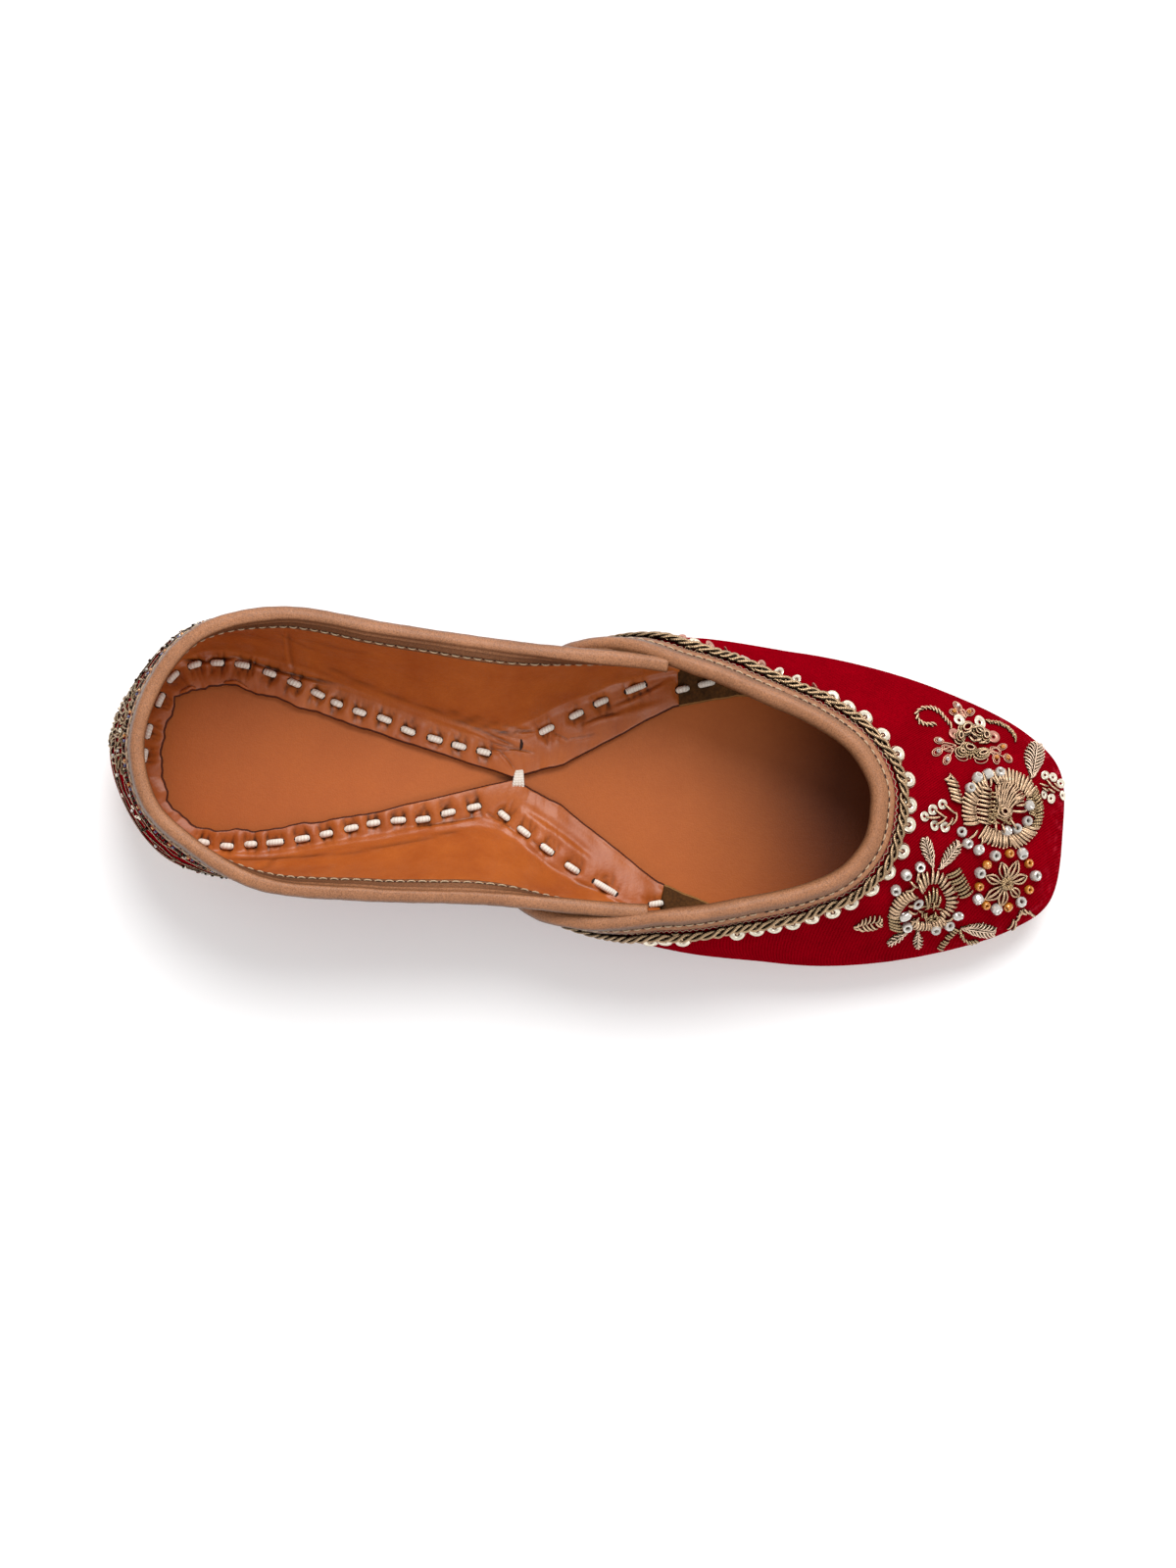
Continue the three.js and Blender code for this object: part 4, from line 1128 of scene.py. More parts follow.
# Machine stitching: short thread dashes in the groove of a binding, with dark slots between them that paint the
# shade in the holes.
# Binding, depth, lean of the flange, side of the panel, part of the path that is stitched, pitch and length
collarStitch, collarInner, throatStitch = *collarStrip["stitches"], throatStrip["stitches"][0]
stitchLines = [
    (collar, collarInner, collarStrip["lean"], -1, (0.0, 1.0), 2.85, 2.25),
    (collar, collarStitch, 0.0, 1, (0.12, 0.88), 2.85, 2.25),
    (throat, throatStitch, 0.0, 1, (0.0, 0.33), 2.75, 2.0),
    (throat, throatStitch, 0.0, 1, (0.33, 0.64), 2.6, 1.45),
    (throat, throatStitch, 0.0, 1, (0.64, 1.0), 2.75, 2.0),
]
threads, slots = [], []
for frames, depth, lean, face, (first, last), pitch, long in stitchLines:
    skin = shoe["gap"] + 0.5 + leaning(depth, lean)
    whole = frames["run"][-1]
    at = np.arange(first * whole + pitch, last * whole - pitch / 2, pitch)[:, None]
    reach = -shoe["wall"] * (face < 0)
    arch = face * np.array([-0.25, 0.08, 0.14, 0.08, -0.25])
    points, out = alongBinding(frames, depth, reach + face * skin + arch, at + np.linspace(0, long, 5))
    threads.append(cords(points, out, 0.21, sides=5))
    between = at + np.linspace(long + 0.08, pitch - 0.08, 4)
    points, out = alongBinding(frames, depth, reach + face * (skin - 0.17), between)
    slots.append(cords(points, out, 0.27, sides=6, ends=0.7))
cordPiece("machineStitching", threads, machineThread)
cordPiece("stitchHoles", slots, holeShade)


def handStitchCords():
    parts = []
    for middle, heading, long in stitched:
        t = np.linspace(-0.5, 0.5, 9)
        paths = middle[:, None] + heading[:, None] * (0.84 * long[:, None] * t)[..., None]
        arch = 0.8 * np.cos(np.pi * t * 0.98) ** 0.5 - 0.5
        paths[..., 2] += arch + 0.05
        parts.append(cords(paths, (0.0, 0.0, 1.0), 0.88, sides=12, ends=0.85))
    return parts


# the stitch at the crossing spreads from its narrow upper end
crossTop = np.linspace((511.5, 632), (516.0, 631), 4)
crossFoot = np.linspace((509.0, 651), (519.0, 650.5), 4)
t = np.linspace(0, 1, 9)[:, None]
crossPaths = atHeight(crossTop[:, None] * (1 - t) + crossFoot[:, None] * t, marginHeight)
crossPaths[..., 2] += 1.3 * np.sin(np.pi * t[:, 0]) ** 0.5 - 0.45
handParts = handStitchCords() + [cords(crossPaths, (0.0, 0.0, 1.0), 0.5, sides=10, ends=0.8)]
cordPiece("handStitches", handParts, whiteThread)


def onLining(p):
    # the points moved to the height of the nearest vertex of the quarters' lining or the vamp's margin
    sheets = np.concatenate([quarterRing[:, starts["margin"] - 10:starts["edge"]].reshape(-1, 3),
                             vampRing[120:260, starts["margin"] - 4:starts["edge"]].reshape(-1, 3)])
    placed = np.array(p, float)
    spots = placed.reshape(-1, 3)
    for part in np.array_split(np.arange(len(spots)), 12):
        away = ((sheets[:, None, :2] - spots[part, :2]) ** 2).sum(-1)
        spots[part, 2] = sheets[away.argmin(axis=0), 2]
    return spots.reshape(placed.shape)


# dark slots where the thread goes through, and one spare hole, all painted shade; then the curled parts of the
# cut edge
t = np.linspace(-0.5, 0.5, 4)[:, None]
outwards = np.concatenate([-stitchHeadings, stitchHeadings])
cross = np.stack([-outwards[:, 1], outwards[:, 0], 0 * outwards[:, 0]], axis=1)
spareHole = atHeight([[(513, 601), (514, 605), (514, 609), (513, 612)]], marginHeight)
slotLengths = rng.uniform(1.1, 2.0, (len(cross), 1, 1))
endHoles = (stitchEnds + outwards * 0.35)[:, None] + cross[:, None] * t * slotLengths
endHoles = onLining(np.concatenate([endHoles, spareHole]))
cordPiece("stitchEnds", [cords(endHoles, (0.0, 0.0, 1.0), (0.2, 0.42, 0.42, 0.2), sides=8, ends=0.8)], holeShade)
rim = quarterRing[:, starts["edge"] - 1]
rimDots = toPicture(rim)
curls = []
for first, last in ((204, 233), (161, 178)):
    found = (rimDots[:, 0] > first) & (rimDots[:, 0] < last) & (rimDots[:, 1] < 600)
    path = resampled(rim[found], 12)
    rise = np.sin(np.pi * np.linspace(0, 1, 12))[:, None]
    curls.append(path + rise ** 0.6 * (0.0, 0.5, 0.45))
curlThickness = 0.18 + 0.34 * np.sin(np.pi * np.linspace(0, 1, 12)) ** 0.5
cordPiece("curledEdge", [cords(curls, (0.0, 0.0, 1.0), curlThickness, sides=10, ends=0.5)], liningLeather)
# specks of velvet pile caught in the stitches
specks = stitchEnds[::5] + rng.normal(0, 0.3, stitchEnds[::5].shape) * (1, 1, 0) + (0.0, 0.0, 0.15)
turn = rng.uniform(0, np.pi, len(specks))
lean = np.stack([np.cos(turn), np.sin(turn), 0 * turn], axis=1) * 0.5
cordPiece("velvetSpecks", [cords(specks[:, None] + lean[:, None] * t, (0.0, 0.0, 1.0), 0.22, sides=6)],
          redThread)
print("stitches", flush=True)

# Embroidery on the vamp. Ends and middles are picture dots, and thicknesses and heights millimetres.
def barPaths(ends, thick, arch=0.35, bend=0.0, base=0.0, count=7):
    # a bar from end to end: the path bends sideways by bend dots and rises by arch over its middle
    ends = np.asarray(ends, float).reshape(-1, 4)
    t = np.linspace(0, 1, count)
    a, b = ends[:, None, :2], ends[:, None, 2:]
    turn = unit((b - a)[..., ::-1] * (-1, 1))
    bends = np.broadcast_to(np.asarray(bend, float), (len(ends),))[:, None, None]
    dots = a + (b - a) * t[:, None] + turn * bends * np.sin(np.pi * t)[:, None]
    lift = base + np.asarray(thick).reshape(-1, 1) * 0.7 + arch * np.sin(np.pi * t) ** 0.7
    return onVamp(dots, lift)


def bars(into, ends, thick, arch=0.35, bend=0.0, base=0.0, sides=7, count=7, jitter=0.35):
    # bars of one kind, each a little off its place, size and height, sewn into a list of parts
    ends = np.asarray(ends, float).reshape(-1, 4)
    ends = ends + rng.normal(0, jitter, ends.shape)
    sizes = thick * rng.uniform(0.9, 1.1, (len(ends), 1))
    points, out = barPaths(ends, sizes, arch * rng.uniform(0.75, 1.25, (len(ends), 1)), bend, base, count)
    swelling = 0.86 + 0.14 * np.sin(np.pi * np.linspace(0, 1, count))
    into.append(cords(points, out, sizes * swelling, sides=sides, ends=0.7))


def between(outer, inner, count):
    # ends of bars that run from an outer line to an inner one
    return np.hstack([resampled(outer, count), resampled(inner, count)])


def arcDots(middle, radii, angles, count=24):
    # part of an ellipse; angles in degrees from the picture's right, turning to its bottom
    a = np.radians(np.linspace(angles[0], angles[1], count))
    return np.stack([middle[0] + radii[0] * np.cos(a), middle[1] + radii[1] * np.sin(a)], axis=1)


def fan(middle, inner, outer, angles, count, slant=0.0):
    # bars across a ring; slant turns their inner ends on by that many degrees
    return np.hstack([arcDots(middle, outer, angles, count),
                      arcDots(middle, inner, (angles[0] + slant, angles[1] + slant), count)])


def slantedRow(line, count, long, turn):
    # short bars along a line, each turned from it by an angle in degrees
    middle = resampled(softened(line, 1), count)
    tilted = turned(unit(np.gradient(middle, axis=0)), np.radians(turn))
    return np.hstack([middle - tilted * long / 2, middle + tilted * long / 2])


def rungs(line, back, forth):
    # bars across a line, from one side of each of its points to the other
    return np.hstack([line - back, line + forth])


def leafThreads(base, tip, width, count):
    # satin leaf: threads from the midrib out to both edges
    base, tip = np.array(base, float), np.array(tip, float)
    axis = tip - base
    side = unit(np.array([-axis[1], axis[0]]))
    t = np.linspace(0.02, 0.9, count)[:, None]
    root, tipward = base + axis * t, base + axis * np.clip(t + 0.2, 0, 1)
    reach = side * (width / 2) * np.sin(np.pi * (t * 0.93 + 0.07)) ** 0.8
    return np.concatenate([np.hstack([root, tipward + reach]), np.hstack([root, tipward - reach])])


def closedWires(into, loops, thick, lift, count=22):
    # thin wire rings: each loop is middle x, y, half length and half width in dots, and its turn in degrees
    loops = np.asarray(loops, float)
    a = np.linspace(0, 2 * np.pi, count)
    c, s = np.cos(np.radians(loops[:, 4]))[:, None], np.sin(np.radians(loops[:, 4]))[:, None]
    x, y = loops[:, 2:3] * np.cos(a), loops[:, 3:4] * np.sin(a)
    dots = np.stack([loops[:, 0:1] + x * c - y * s, loops[:, 1:2] + x * s + y * c], axis=-1)
    points, out = onVamp(dots, lift)
    into.append(cords(points, out, thick, sides=5, ends=1.0))


def rings(places, ring, size):
    # closed rings (place, row, side, xyz) of unit size, scaled and put in their places
    points = places[:, None, None] + ring * size[:, None, None, None]
    count, rows, sides = points.shape[:3]
    quads = gridFaces(rows, sides, closedRows=True, closedColumns=True)[:, ::-1]
    offset = (np.arange(count) * rows * sides)[:, None, None]
    return {"points": points.reshape(-1, 3), "quads": (quads + offset).reshape(-1, 4),
            "uv": np.zeros((points.size // 3, 2))}


def discs(places, out, size, tilt, hole=0.3, sides=20, cup=0.12):
    # sequins: a cupped washer for each place, tilted at random; sizes in millimetres
    places, out = np.asarray(places, float), unit(np.asarray(out, float))
    size = np.broadcast_to(size, (len(places),))
    lean = unit(out + rng.normal(0, 1, out.shape) * np.asarray(tilt).reshape(-1, 1))
    first = unit(np.cross(lean, (0.3, 0.9, 0.2)))
    second = np.cross(lean, first)
    a = np.linspace(0, 2 * np.pi, sides, endpoint=False)
    rows = [(hole, -0.02), (hole, 0.05), (0.62, 0.07 + cup * 0.3), (1.0, 0.05 + cup), (1.02, cup),
            (0.64, cup * 0.3)]
    ring = np.stack([first[:, None] * np.cos(a)[:, None] * r + second[:, None] * np.sin(a)[:, None] * r
                     + lean[:, None] * h * np.ones((sides, 1)) for r, h in rows], axis=1)
    return rings(places, ring, size)


def beadsAt(places, out, size, stretch=1.0, heading=None, hole=0.28, sides=10, rows=7):
    # round beads with a hole through; stretch lengthens them along heading
    places, out = np.asarray(places, float), unit(np.asarray(out, float))
    heading = rng.normal(0, 1, out.shape) if heading is None else heading
    axis = unit(out + rng.normal(0, 0.35, out.shape))
    first = unit(np.cross(axis, heading))
    second = np.cross(axis, first)
    size = np.broadcast_to(size, (len(places),))
    stretch = np.broadcast_to(stretch, (len(places),))
    a = np.linspace(0, 2 * np.pi, sides, endpoint=False)
    b = np.linspace(0, 2 * np.pi, rows * 2, endpoint=False)
    middle, thick = (1 + hole) / 2, (1 - hole) / 2
    r = middle + thick * np.cos(b)
    h = 0.82 * np.sin(b)
    flatWay = np.cos(a)[None, :, None] * first[:, None, None] + (
        np.sin(a)[None, :, None] * second[:, None, None] * stretch[:, None, None, None])
    ring = flatWay * r[:, None, None] + axis[:, None, None] * h[:, None, None]
    return rings(places, ring, size)


def rope(centre, out, width, pitch, thick, strands=3, flatness=0.5, sides=7, phase=0.0):
    # strands twisted along a line: sideways by a sine of the run, and up and down by its cosine
    run = runAlong(centre)
    tangent = unit(np.gradient(centre, axis=0))
    side = unit(np.cross(out, tangent))
    turn = 2 * np.pi * (run / pitch + wavy(run, 3, ((31.0, 0.06), (17.0, 0.05)))) + phase
    uneven = 1 + 0.12 * wavy(run, 6, ((5.0, 1.0), (9.0, 0.7)))
    paths = []
    for k in range(strands):
        at = turn + 2 * np.pi * k / strands
        across = side * (width / 2 * uneven * np.sin(at))[:, None]
        rise = out * (thick * (0.9 + flatness * (1 + np.cos(at))))[:, None]
        paths.append(centre + across + rise)
    return cords(np.stack(paths), out, thick, sides=sides)


def tangle(middle, radii, count=26, half=2.8):
    # short bars at random places and slants within an ellipse
    angle = rng.uniform(0, 2 * np.pi, count)
    reach = np.sqrt(rng.uniform(0.05, 1, count))
    spot = np.array(middle) + pointing(angle) * reach[:, None] * radii
    lean = pointing(rng.uniform(0, np.pi, count)) * half
    return rungs(spot, lean, lean)


coil, ringed, fine, wires, clear, amber, foil, dimFoil = ([] for _ in range(8))

# Small rose at the outer side of the toe
bars(coil, slantedRow([(948, 550), (943, 544), (938, 539), (933, 536), (928, 534.5), (922, 534.5),
                       (917, 536), (913, 539), (912.5, 544), (915, 549), (920, 552), (925, 553),
                       (931, 550.5)], 17, 6.5, 32), 0.38, 0.2)
bars(ringed, slantedRow([(986, 543.5), (992, 543.7), (998, 544.7), (1004, 546.7), (1009, 549.5),
                         (1013, 553), (1016, 558.5)], 12, 6.0, 30), 0.36, 0.2)
petals = [(964, 553, 8, 6.5, -30), (977, 555, 8, 6.5, 20), (984, 559, 7, 6, 60), (968, 573, 8, 6, 10),
          (982, 577, 8, 5.5, -20), (961, 577, 6, 5, 20), (958, 562, 7, 5.5, 80)]
for k in range(3):
    grown = [(x, y, a - 1.9 * k, b - 1.7 * k, t) for x, y, a, b, t in petals]
    closedWires((coil, ringed, coil)[k], grown, 0.32, 0.45 + 0.5 * k)
bars(coil, [(968, 558, 975, 562), (972, 566, 979, 563), (966, 563, 972, 568), (975, 553, 981, 557),
            (962, 560, 967, 556), (977, 568, 983, 565), (969, 554, 974, 551)], 0.38, 0.5, 1.5, 1.1)
bars(ringed, fan((971, 572), (4, 2), (15, 10), (20, 160), 11, 4), 0.3, 0.45)
clusterLoops = [
    (954, 530.5, 5.5, 3.0, 40), (950.5, 537, 4.5, 3.0, 15), (967.5, 535.5, 4.6, 3.6, -35),
    (960, 537, 4, 2.6, 70), (937.8, 567, 5, 3.0, 10), (937, 578.5, 5.5, 3.8, -30),
    (947.5, 585.5, 5.5, 3.4, -65), (947, 574, 6, 3, 15), (1002.5, 568, 5, 3.0, -20),
    (1009.5, 579, 5, 3.4, 40), (997.5, 580.5, 5.5, 3.4, 75), (996, 572, 6, 3, 20),
    (962.5, 581, 6.5, 4.2, 15), (982.5, 582.5, 6.5, 4.0, -10),
]
closedWires(wires, clusterLoops, 0.14, 0.3)
closedWires(wires, [(x, y, a * 0.72, b * 0.62, t) for x, y, a, b, t in clusterLoops[:12]], 0.11, 0.45)
bars(wires, [(963, 541, 956, 533), (963, 541, 953, 538), (963, 541, 967, 537), (956, 570, 941, 568),
             (956, 570, 941, 577), (956, 571, 949, 583), (989, 572, 1000, 569), (989, 572, 1006, 577),
             (988, 573, 996, 578)], 0.2, 0.2)


def stitchBeads(table, size, into, base=0.75, stretch=1.0, heading=None):
    table = np.asarray(table, float)
    places, out = onVamp(table[:, :2], base)
    into.append(beadsAt(places, out, size, stretch, heading))


stitchBeads([(951, 536.5), (1003, 568), (1009, 578.5), (997.5, 579), (966, 536)], 0.62, amber, 0.6)
stitchBeads([(954, 530.5), (938, 567), (937.5, 578), (947.5, 585)], 0.55, clear, 0.6)


def stitchSequins(table, into, tilt=0.12, base=0.3):
    # rows of x, y in dots and the radius in millimetres
    table = np.asarray(table, float)
    places, out = onVamp(table[:, :2], base)
    into.append(discs(places, out, table[:, 2], tilt))


stitchSequins([(976.5, 547, 1.85), (955.5, 546.5, 1.6)], foil, 0.1, 1.1)
# two sequins take the darker copy of the foil: painted shade
stitchSequins([(992, 559.5, 1.75), (952, 560, 1.6)], dimFoil, 0.1, 0.7)

# Leaves of satin stitch: base and tip, width in dots, threads on each side
leaves = [((1034, 598), (1037, 561), 21, 11), ((941.5, 697), (930.5, 666.5), 13, 9),
          ((947.5, 697), (967, 668), 13, 9), ((975, 753.5), (1011, 755.5), 14.5, 10),
          ((922, 763), (903, 777), 8, 6), ((932.5, 761), (933.5, 778), 10, 6)]
for base, tip, width, count in leaves:
    under = leafThreads(base, tip, width * 0.85, 2 * count)
    bars(ringed, under, 0.22, 0.0, 0.8, -0.05, sides=5, count=5)
    bars(fine, leafThreads(base, tip, width, count), 0.27, 0.4, 0.8, 0.2, sides=6, count=5, jitter=0.25)
    bars(fine, [(*base, *tip)], 0.2, 0.1, 0.6, 0.65, sides=5, count=9)

# Sequin flower at the toe's corner, and the sprig of sequins
stitchSequins([(1048, 593, 1.15), (1056.3, 594.5, 1.25), (1064.5, 600, 1.25), (1067, 612, 1.3),
               (1056, 616, 1.3), (1048.5, 612.5, 1.15)], foil, 0.15, 0.45)
bars(coil, [(1043, 602, 1051, 604), (1050, 598, 1056, 604), (1057, 604, 1063, 608), (1052, 606, 1058, 610),
            (1058, 600, 1062, 604), (1054, 602, 1060, 606), (1046, 606, 1052, 608)], 0.32, 0.5, 1.0, 0.4)
stitchSequins([(946.5, 631, 1.3), (937, 637.5, 1.4), (929.3, 645, 1.3), (940, 653.3, 1.4), (950.8, 654, 1.35)],
              foil, 0.12, 0.3)
bars(coil, [(947.5, 631, 960, 639), (938, 636.5, 951.5, 644), (930.5, 645.5, 944, 644.5),
            (940.5, 653, 951, 645), (951, 653.5, 957, 644)], 0.36, 0.3, 0.8, 0.35)
bars(coil, [(960.5, 638, 957.5, 652)], 0.36, 0.25, -2.0, 0.1)

# Stack of bars beside the big rose
stack = np.linspace((952.5, 603), (961.5, 625.5), 7)
bars(coil, rungs(stack, (5.8, 0.6), (5.8, 1.6))[1:], 0.5, 0.5, 0.8)
bars(coil, [(947, 606, 952, 600), (952, 600, 958, 606)], 0.45, 0.4, 1.4)

# Big rose
rose = (1008.5, 631.5)
bars(coil, fan(rose, (28, 28), (42.5, 43), (156, 236), 14, -6), 0.57, 0.55, 1.2)
bars(coil, fan(rose, (25, 22), (38, 38.5), (127, 74), 10, 0), 0.54, 0.55, -0.8)
bars(coil, fan(rose, (27, 26), (41, 41), (68, 24), 9, 10), 0.54, 0.5, -1.0)
bars(coil, fan(rose, (27, 27), (41, 41), (244, 320), 14, 8), 0.55, 0.55, 1.2)
bars(ringed, fan(rose, (33, 33), (41, 41), (-38, 20), 12, 6), 0.4, 0.4)
bars(ringed, fan(rose, (27, 27), (34, 34), (-34, 8), 9, -6), 0.36, 0.35)
inner = np.linspace((988, 611), (990, 646), 9)
bars(coil, rungs(inner, (8.0, 0.8), (6.5, 1.0)), 0.48, 0.5, 0.5, 0.1)
inner = np.linspace((998, 616), (997, 645), 8)
bars(ringed, rungs(inner, (4.2, 0.4), (4.2, 0.6)), 0.42, 0.5, 0.0, 0.4)
bars(coil, between([(998, 609), (1004, 604.5), (1012, 603), (1020, 606), (1026, 613), (1028, 621)],
                   [(1001, 626), (1003, 624), (1006, 623), (1009, 624), (1012, 626), (1013, 629)], 14),
     0.36, 0.75, 2.0, 0.5, sides=6)
bars(coil, between([(1001, 613), (1010, 609), (1018, 612), (1022, 619)],
                   [(1002, 630), (1005, 629), (1009, 630), (1012, 632)], 8),
     0.34, 0.9, 2.2, 0.9, sides=6)
for k in range(3):
    closedWires(coil, [(1007 + 0.5 * k, 633, 8.8 - 2.7 * k, 8.0 - 2.5 * k, 25 * k)], 0.38, 0.9 + 0.3 * k)
bars(ringed, tangle((1007, 637), (13, 10.4)), 0.32, 0.4, 0.8, 0.7, sides=6, count=5)
bars(coil, [(1014, 622, 1027, 616), (1016, 632, 1030, 630), (1014, 640, 1022, 650), (1007, 646, 1010, 656),
            (1000, 645, 1001, 654), (1019, 626, 1029, 623)], 0.42, 0.5, 0.8, 0.8)
bars(coil, [(979, 613, 987, 617), (984.5, 603, 992, 612), (992.5, 599, 993.5, 609), (1003, 597, 1000, 606),
            (975, 665, 983.5, 655), (988, 669, 988, 659)], 0.42, 0.45, 0.6, 0.3)
stitchBeads([(972.2, 612.5), (978.7, 602), (989.2, 597.5), (1001, 595), (1033.3, 625), (1032.5, 641),
             (1022.5, 649.5), (1012.5, 653), (967.5, 657.5), (974.2, 668.7), (986, 674.2)], 1.42, clear, 0.95)

# Star flower: petals of doubled coil from the middle to their tips
star = {"middle": (1017.5, 706), "tips": [(1011, 684.5), (1027.5, 682), (1038, 697), (1032, 718),
                                          (1014, 729.5), (997, 724), (995.5, 700)]}
for far in np.array(star["tips"]):
    root = np.array(star["middle"])
    out = unit(far - root)
    cross = np.array([-out[1], out[0]])
    near = root + out * 6
    bars(coil, [(*(near + cross * 0.8), *far), (*(near - cross * 0.8), *far)], 0.36, 0.4, [4.2, -4.2], 0.1)
    bars(coil, [(*near, *(far - out * 3))], 0.42, 0.5, 0.0, 0.2)
lean = pointing(np.linspace(0, 2 * np.pi, 17)[:-1])
spokes = np.hstack([star["middle"] + lean * 1.5, star["middle"] + lean * 6.5])
bars(ringed, spokes, 0.33, 0.4, 1.0, 0.5, sides=6)
stitchBeads([(1003, 678.7), (1030.5, 674.2), (1045.5, 695.5), (1033.3, 722.5), (1009.2, 731.5), (989.7, 723),
             (989.2, 696.7)], 1.5, clear, 0.95)
stitchBeads([(1017.5, 675.3), (1037.8, 683.7), (1040.3, 709.7), (1021.3, 728.7), (998.3, 728.7), (989.7, 710.3),
             (995.8, 688.3)], 1.2, amber, 0.85)

# Second rose
crest = {"outer": [(928, 712), (928.5, 705), (933, 700.5), (941, 698), (950, 699), (957, 704), (962, 710),
                   (966, 716), (969, 723), (970, 730), (968, 737), (963, 742.5), (958, 745.5)],
         "inner": [(934, 722), (936, 716.5), (939.5, 713), (943.5, 711.5), (948, 712), (951, 714.5),
                   (953.5, 718), (956, 722), (958, 727), (959, 731), (958, 735), (955.5, 738), (953, 740)]}
bars(coil, between(crest["outer"], crest["inner"], 17), 0.52, 0.65, 0.9)
petal = {"outer": [(920, 720), (911, 724), (905.5, 730.5), (902, 738), (901, 746)],
         "inner": [(929, 727), (922.5, 730.5), (917.5, 735), (914, 740), (912, 745.5)]}
bars(coil, between(petal["outer"], petal["inner"], 10), 0.56, 0.6, 1.6)
block = np.linspace((906.5, 749.5), (909.5, 761.5), 5)
bars(ringed, rungs(block, (6.5, 0.9), (6.5, 0.9)), 0.42, 0.4)
bars(ringed, [(939.5, 719, 941.5, 733), (943.5, 715, 944, 731), (947.5, 716, 947, 731),
              (951, 723, 950, 733), (935.5, 724, 939, 736)], 0.42, 0.5, 0.0, 0.2)
foot = {"outer": [(922, 757), (930, 759.5), (938, 760), (946, 759), (954, 756), (960, 751)],
        "inner": [(928, 749), (933, 751), (938, 751.5), (944, 751), (950, 748.5), (954, 745)]}
bars(coil, between(foot["outer"], foot["inner"], 13), 0.48, 0.5, 0.6)
bars(ringed, tangle((942, 740), (11, 8.25)), 0.32, 0.45, 0.8, 0.4, sides=6, count=5)
bars(coil, [(921, 740, 929, 742), (920, 735, 927, 731), (924, 751, 931, 747), (916, 722, 924, 716),
            (927, 700, 926, 711), (919, 711, 927, 717), (958, 747, 966, 743), (955, 750, 961, 751)],
     0.42, 0.5, 0.8, 0.4)
stitchBeads([(928, 695.8), (914.5, 705), (905.3, 721), (920.3, 756.8), (949.2, 756.7), (962.5, 752)],
            1.45, clear, 0.95)
stitchBeads([(929, 733), (917.5, 746), (970.8, 741.7)], 1.15, clear, 1.0, 1.5,
            np.array([(0.8, 0.7, 0.3), (0.2, 1.0, 0.4), (0.9, 0.4, 0.2)]))

# Block of ringed bars, feather, and the small vines at the edge
block = np.linspace((963, 697.8), (977.8, 719.5), 8)
bars(ringed, rungs(block, (6.2, -4.3), (6.2, -4.3)), 0.45, 0.45, 0.6)
bars(coil, leafThreads((866, 763), (895, 753.5), 14, 7), 0.38, 0.4, 0.8, 0.05)
vine = slantedRow([(971, 756), (967, 761), (963, 766), (960, 771), (956.5, 777)], 9, 6.0, 70)
bars(ringed, vine, 0.38, 0.35)
vine = slantedRow([(975, 758), (977, 764), (981, 768.5), (987, 769), (993, 766)], 8, 5.5, 35)
bars(ringed, vine, 0.36, 0.3)
bars(coil, [(1023, 751, 1028, 741), (1027, 752, 1031, 742), (1030, 743, 1034, 733), (1034, 732, 1041, 734),
            (1038, 730, 1045, 734), (1043, 731, 1049, 736), (1031, 738, 1036, 731)], 0.38, 0.35, 0.8)
print("toe embroidery", flush=True)

# Trim round the throat: loose red and white thread, the plait of gold coil, and a row of sequins
trim = {"threadDepth": 5.2, "plaitDepth": 6.9, "sequinDepth": 9.1, "pitch": 8.2, "sequinPitch": 4.7,
        "plaitWidth": 2.05, "strand": 0.56, "sequin": 1.86}
full = throat["run"][-1]
at = np.arange(2.0, full - 2.0, 0.32)
centre, out = alongBinding(throat, trim["plaitDepth"] + 0.25 * wavy(at, 4, ((23.0, 1.0), (11.0, 0.6))), 0.0, at)
braidParts = [rope(centre, out, trim["plaitWidth"], trim["pitch"], trim["strand"], flatness=0.8)]
# loose knots of the same coil along both sides of the plait
side = unit(np.cross(out, np.gradient(centre, axis=0)))
spots = np.arange(6, len(at) - 6, 11)
spots = spots[rng.random(len(spots)) > 0.25]
aside = rng.uniform(0.9, 1.5, (len(spots), 1)) * rng.choice([-1, -1, 1], (len(spots), 1))
knots = centre[spots] + side[spots] * aside
ahead = unit(np.gradient(centre, axis=0))[spots]
t = np.linspace(-0.5, 0.5, 5)[:, None]
stub = knots[:, None] + ahead[:, None] * t * 1.7 + out[spots][:, None] * (0.5 + 0.35 * np.cos(np.pi * t))
braidParts.append(cords(stub, out[spots][:, None], 0.42, sides=6, ends=0.6))

at = np.arange(6.0, full - 6.0, 0.25)
wave = np.abs(np.mod(at / 1.7, 1.0) - 0.5) * 2
line, lineOut = alongBinding(throat, trim["threadDepth"] + 0.75 * (wave - 0.5), 0.28, at)
whiteLine = cords(line[None], lineOut, 0.11, sides=5)
line, lineOut = alongBinding(throat, trim["threadDepth"] + 0.65 * (0.5 - wave) - 0.15, 0.2, at + 0.4)
redLine = cords(line[None], lineOut, 0.11, sides=5)

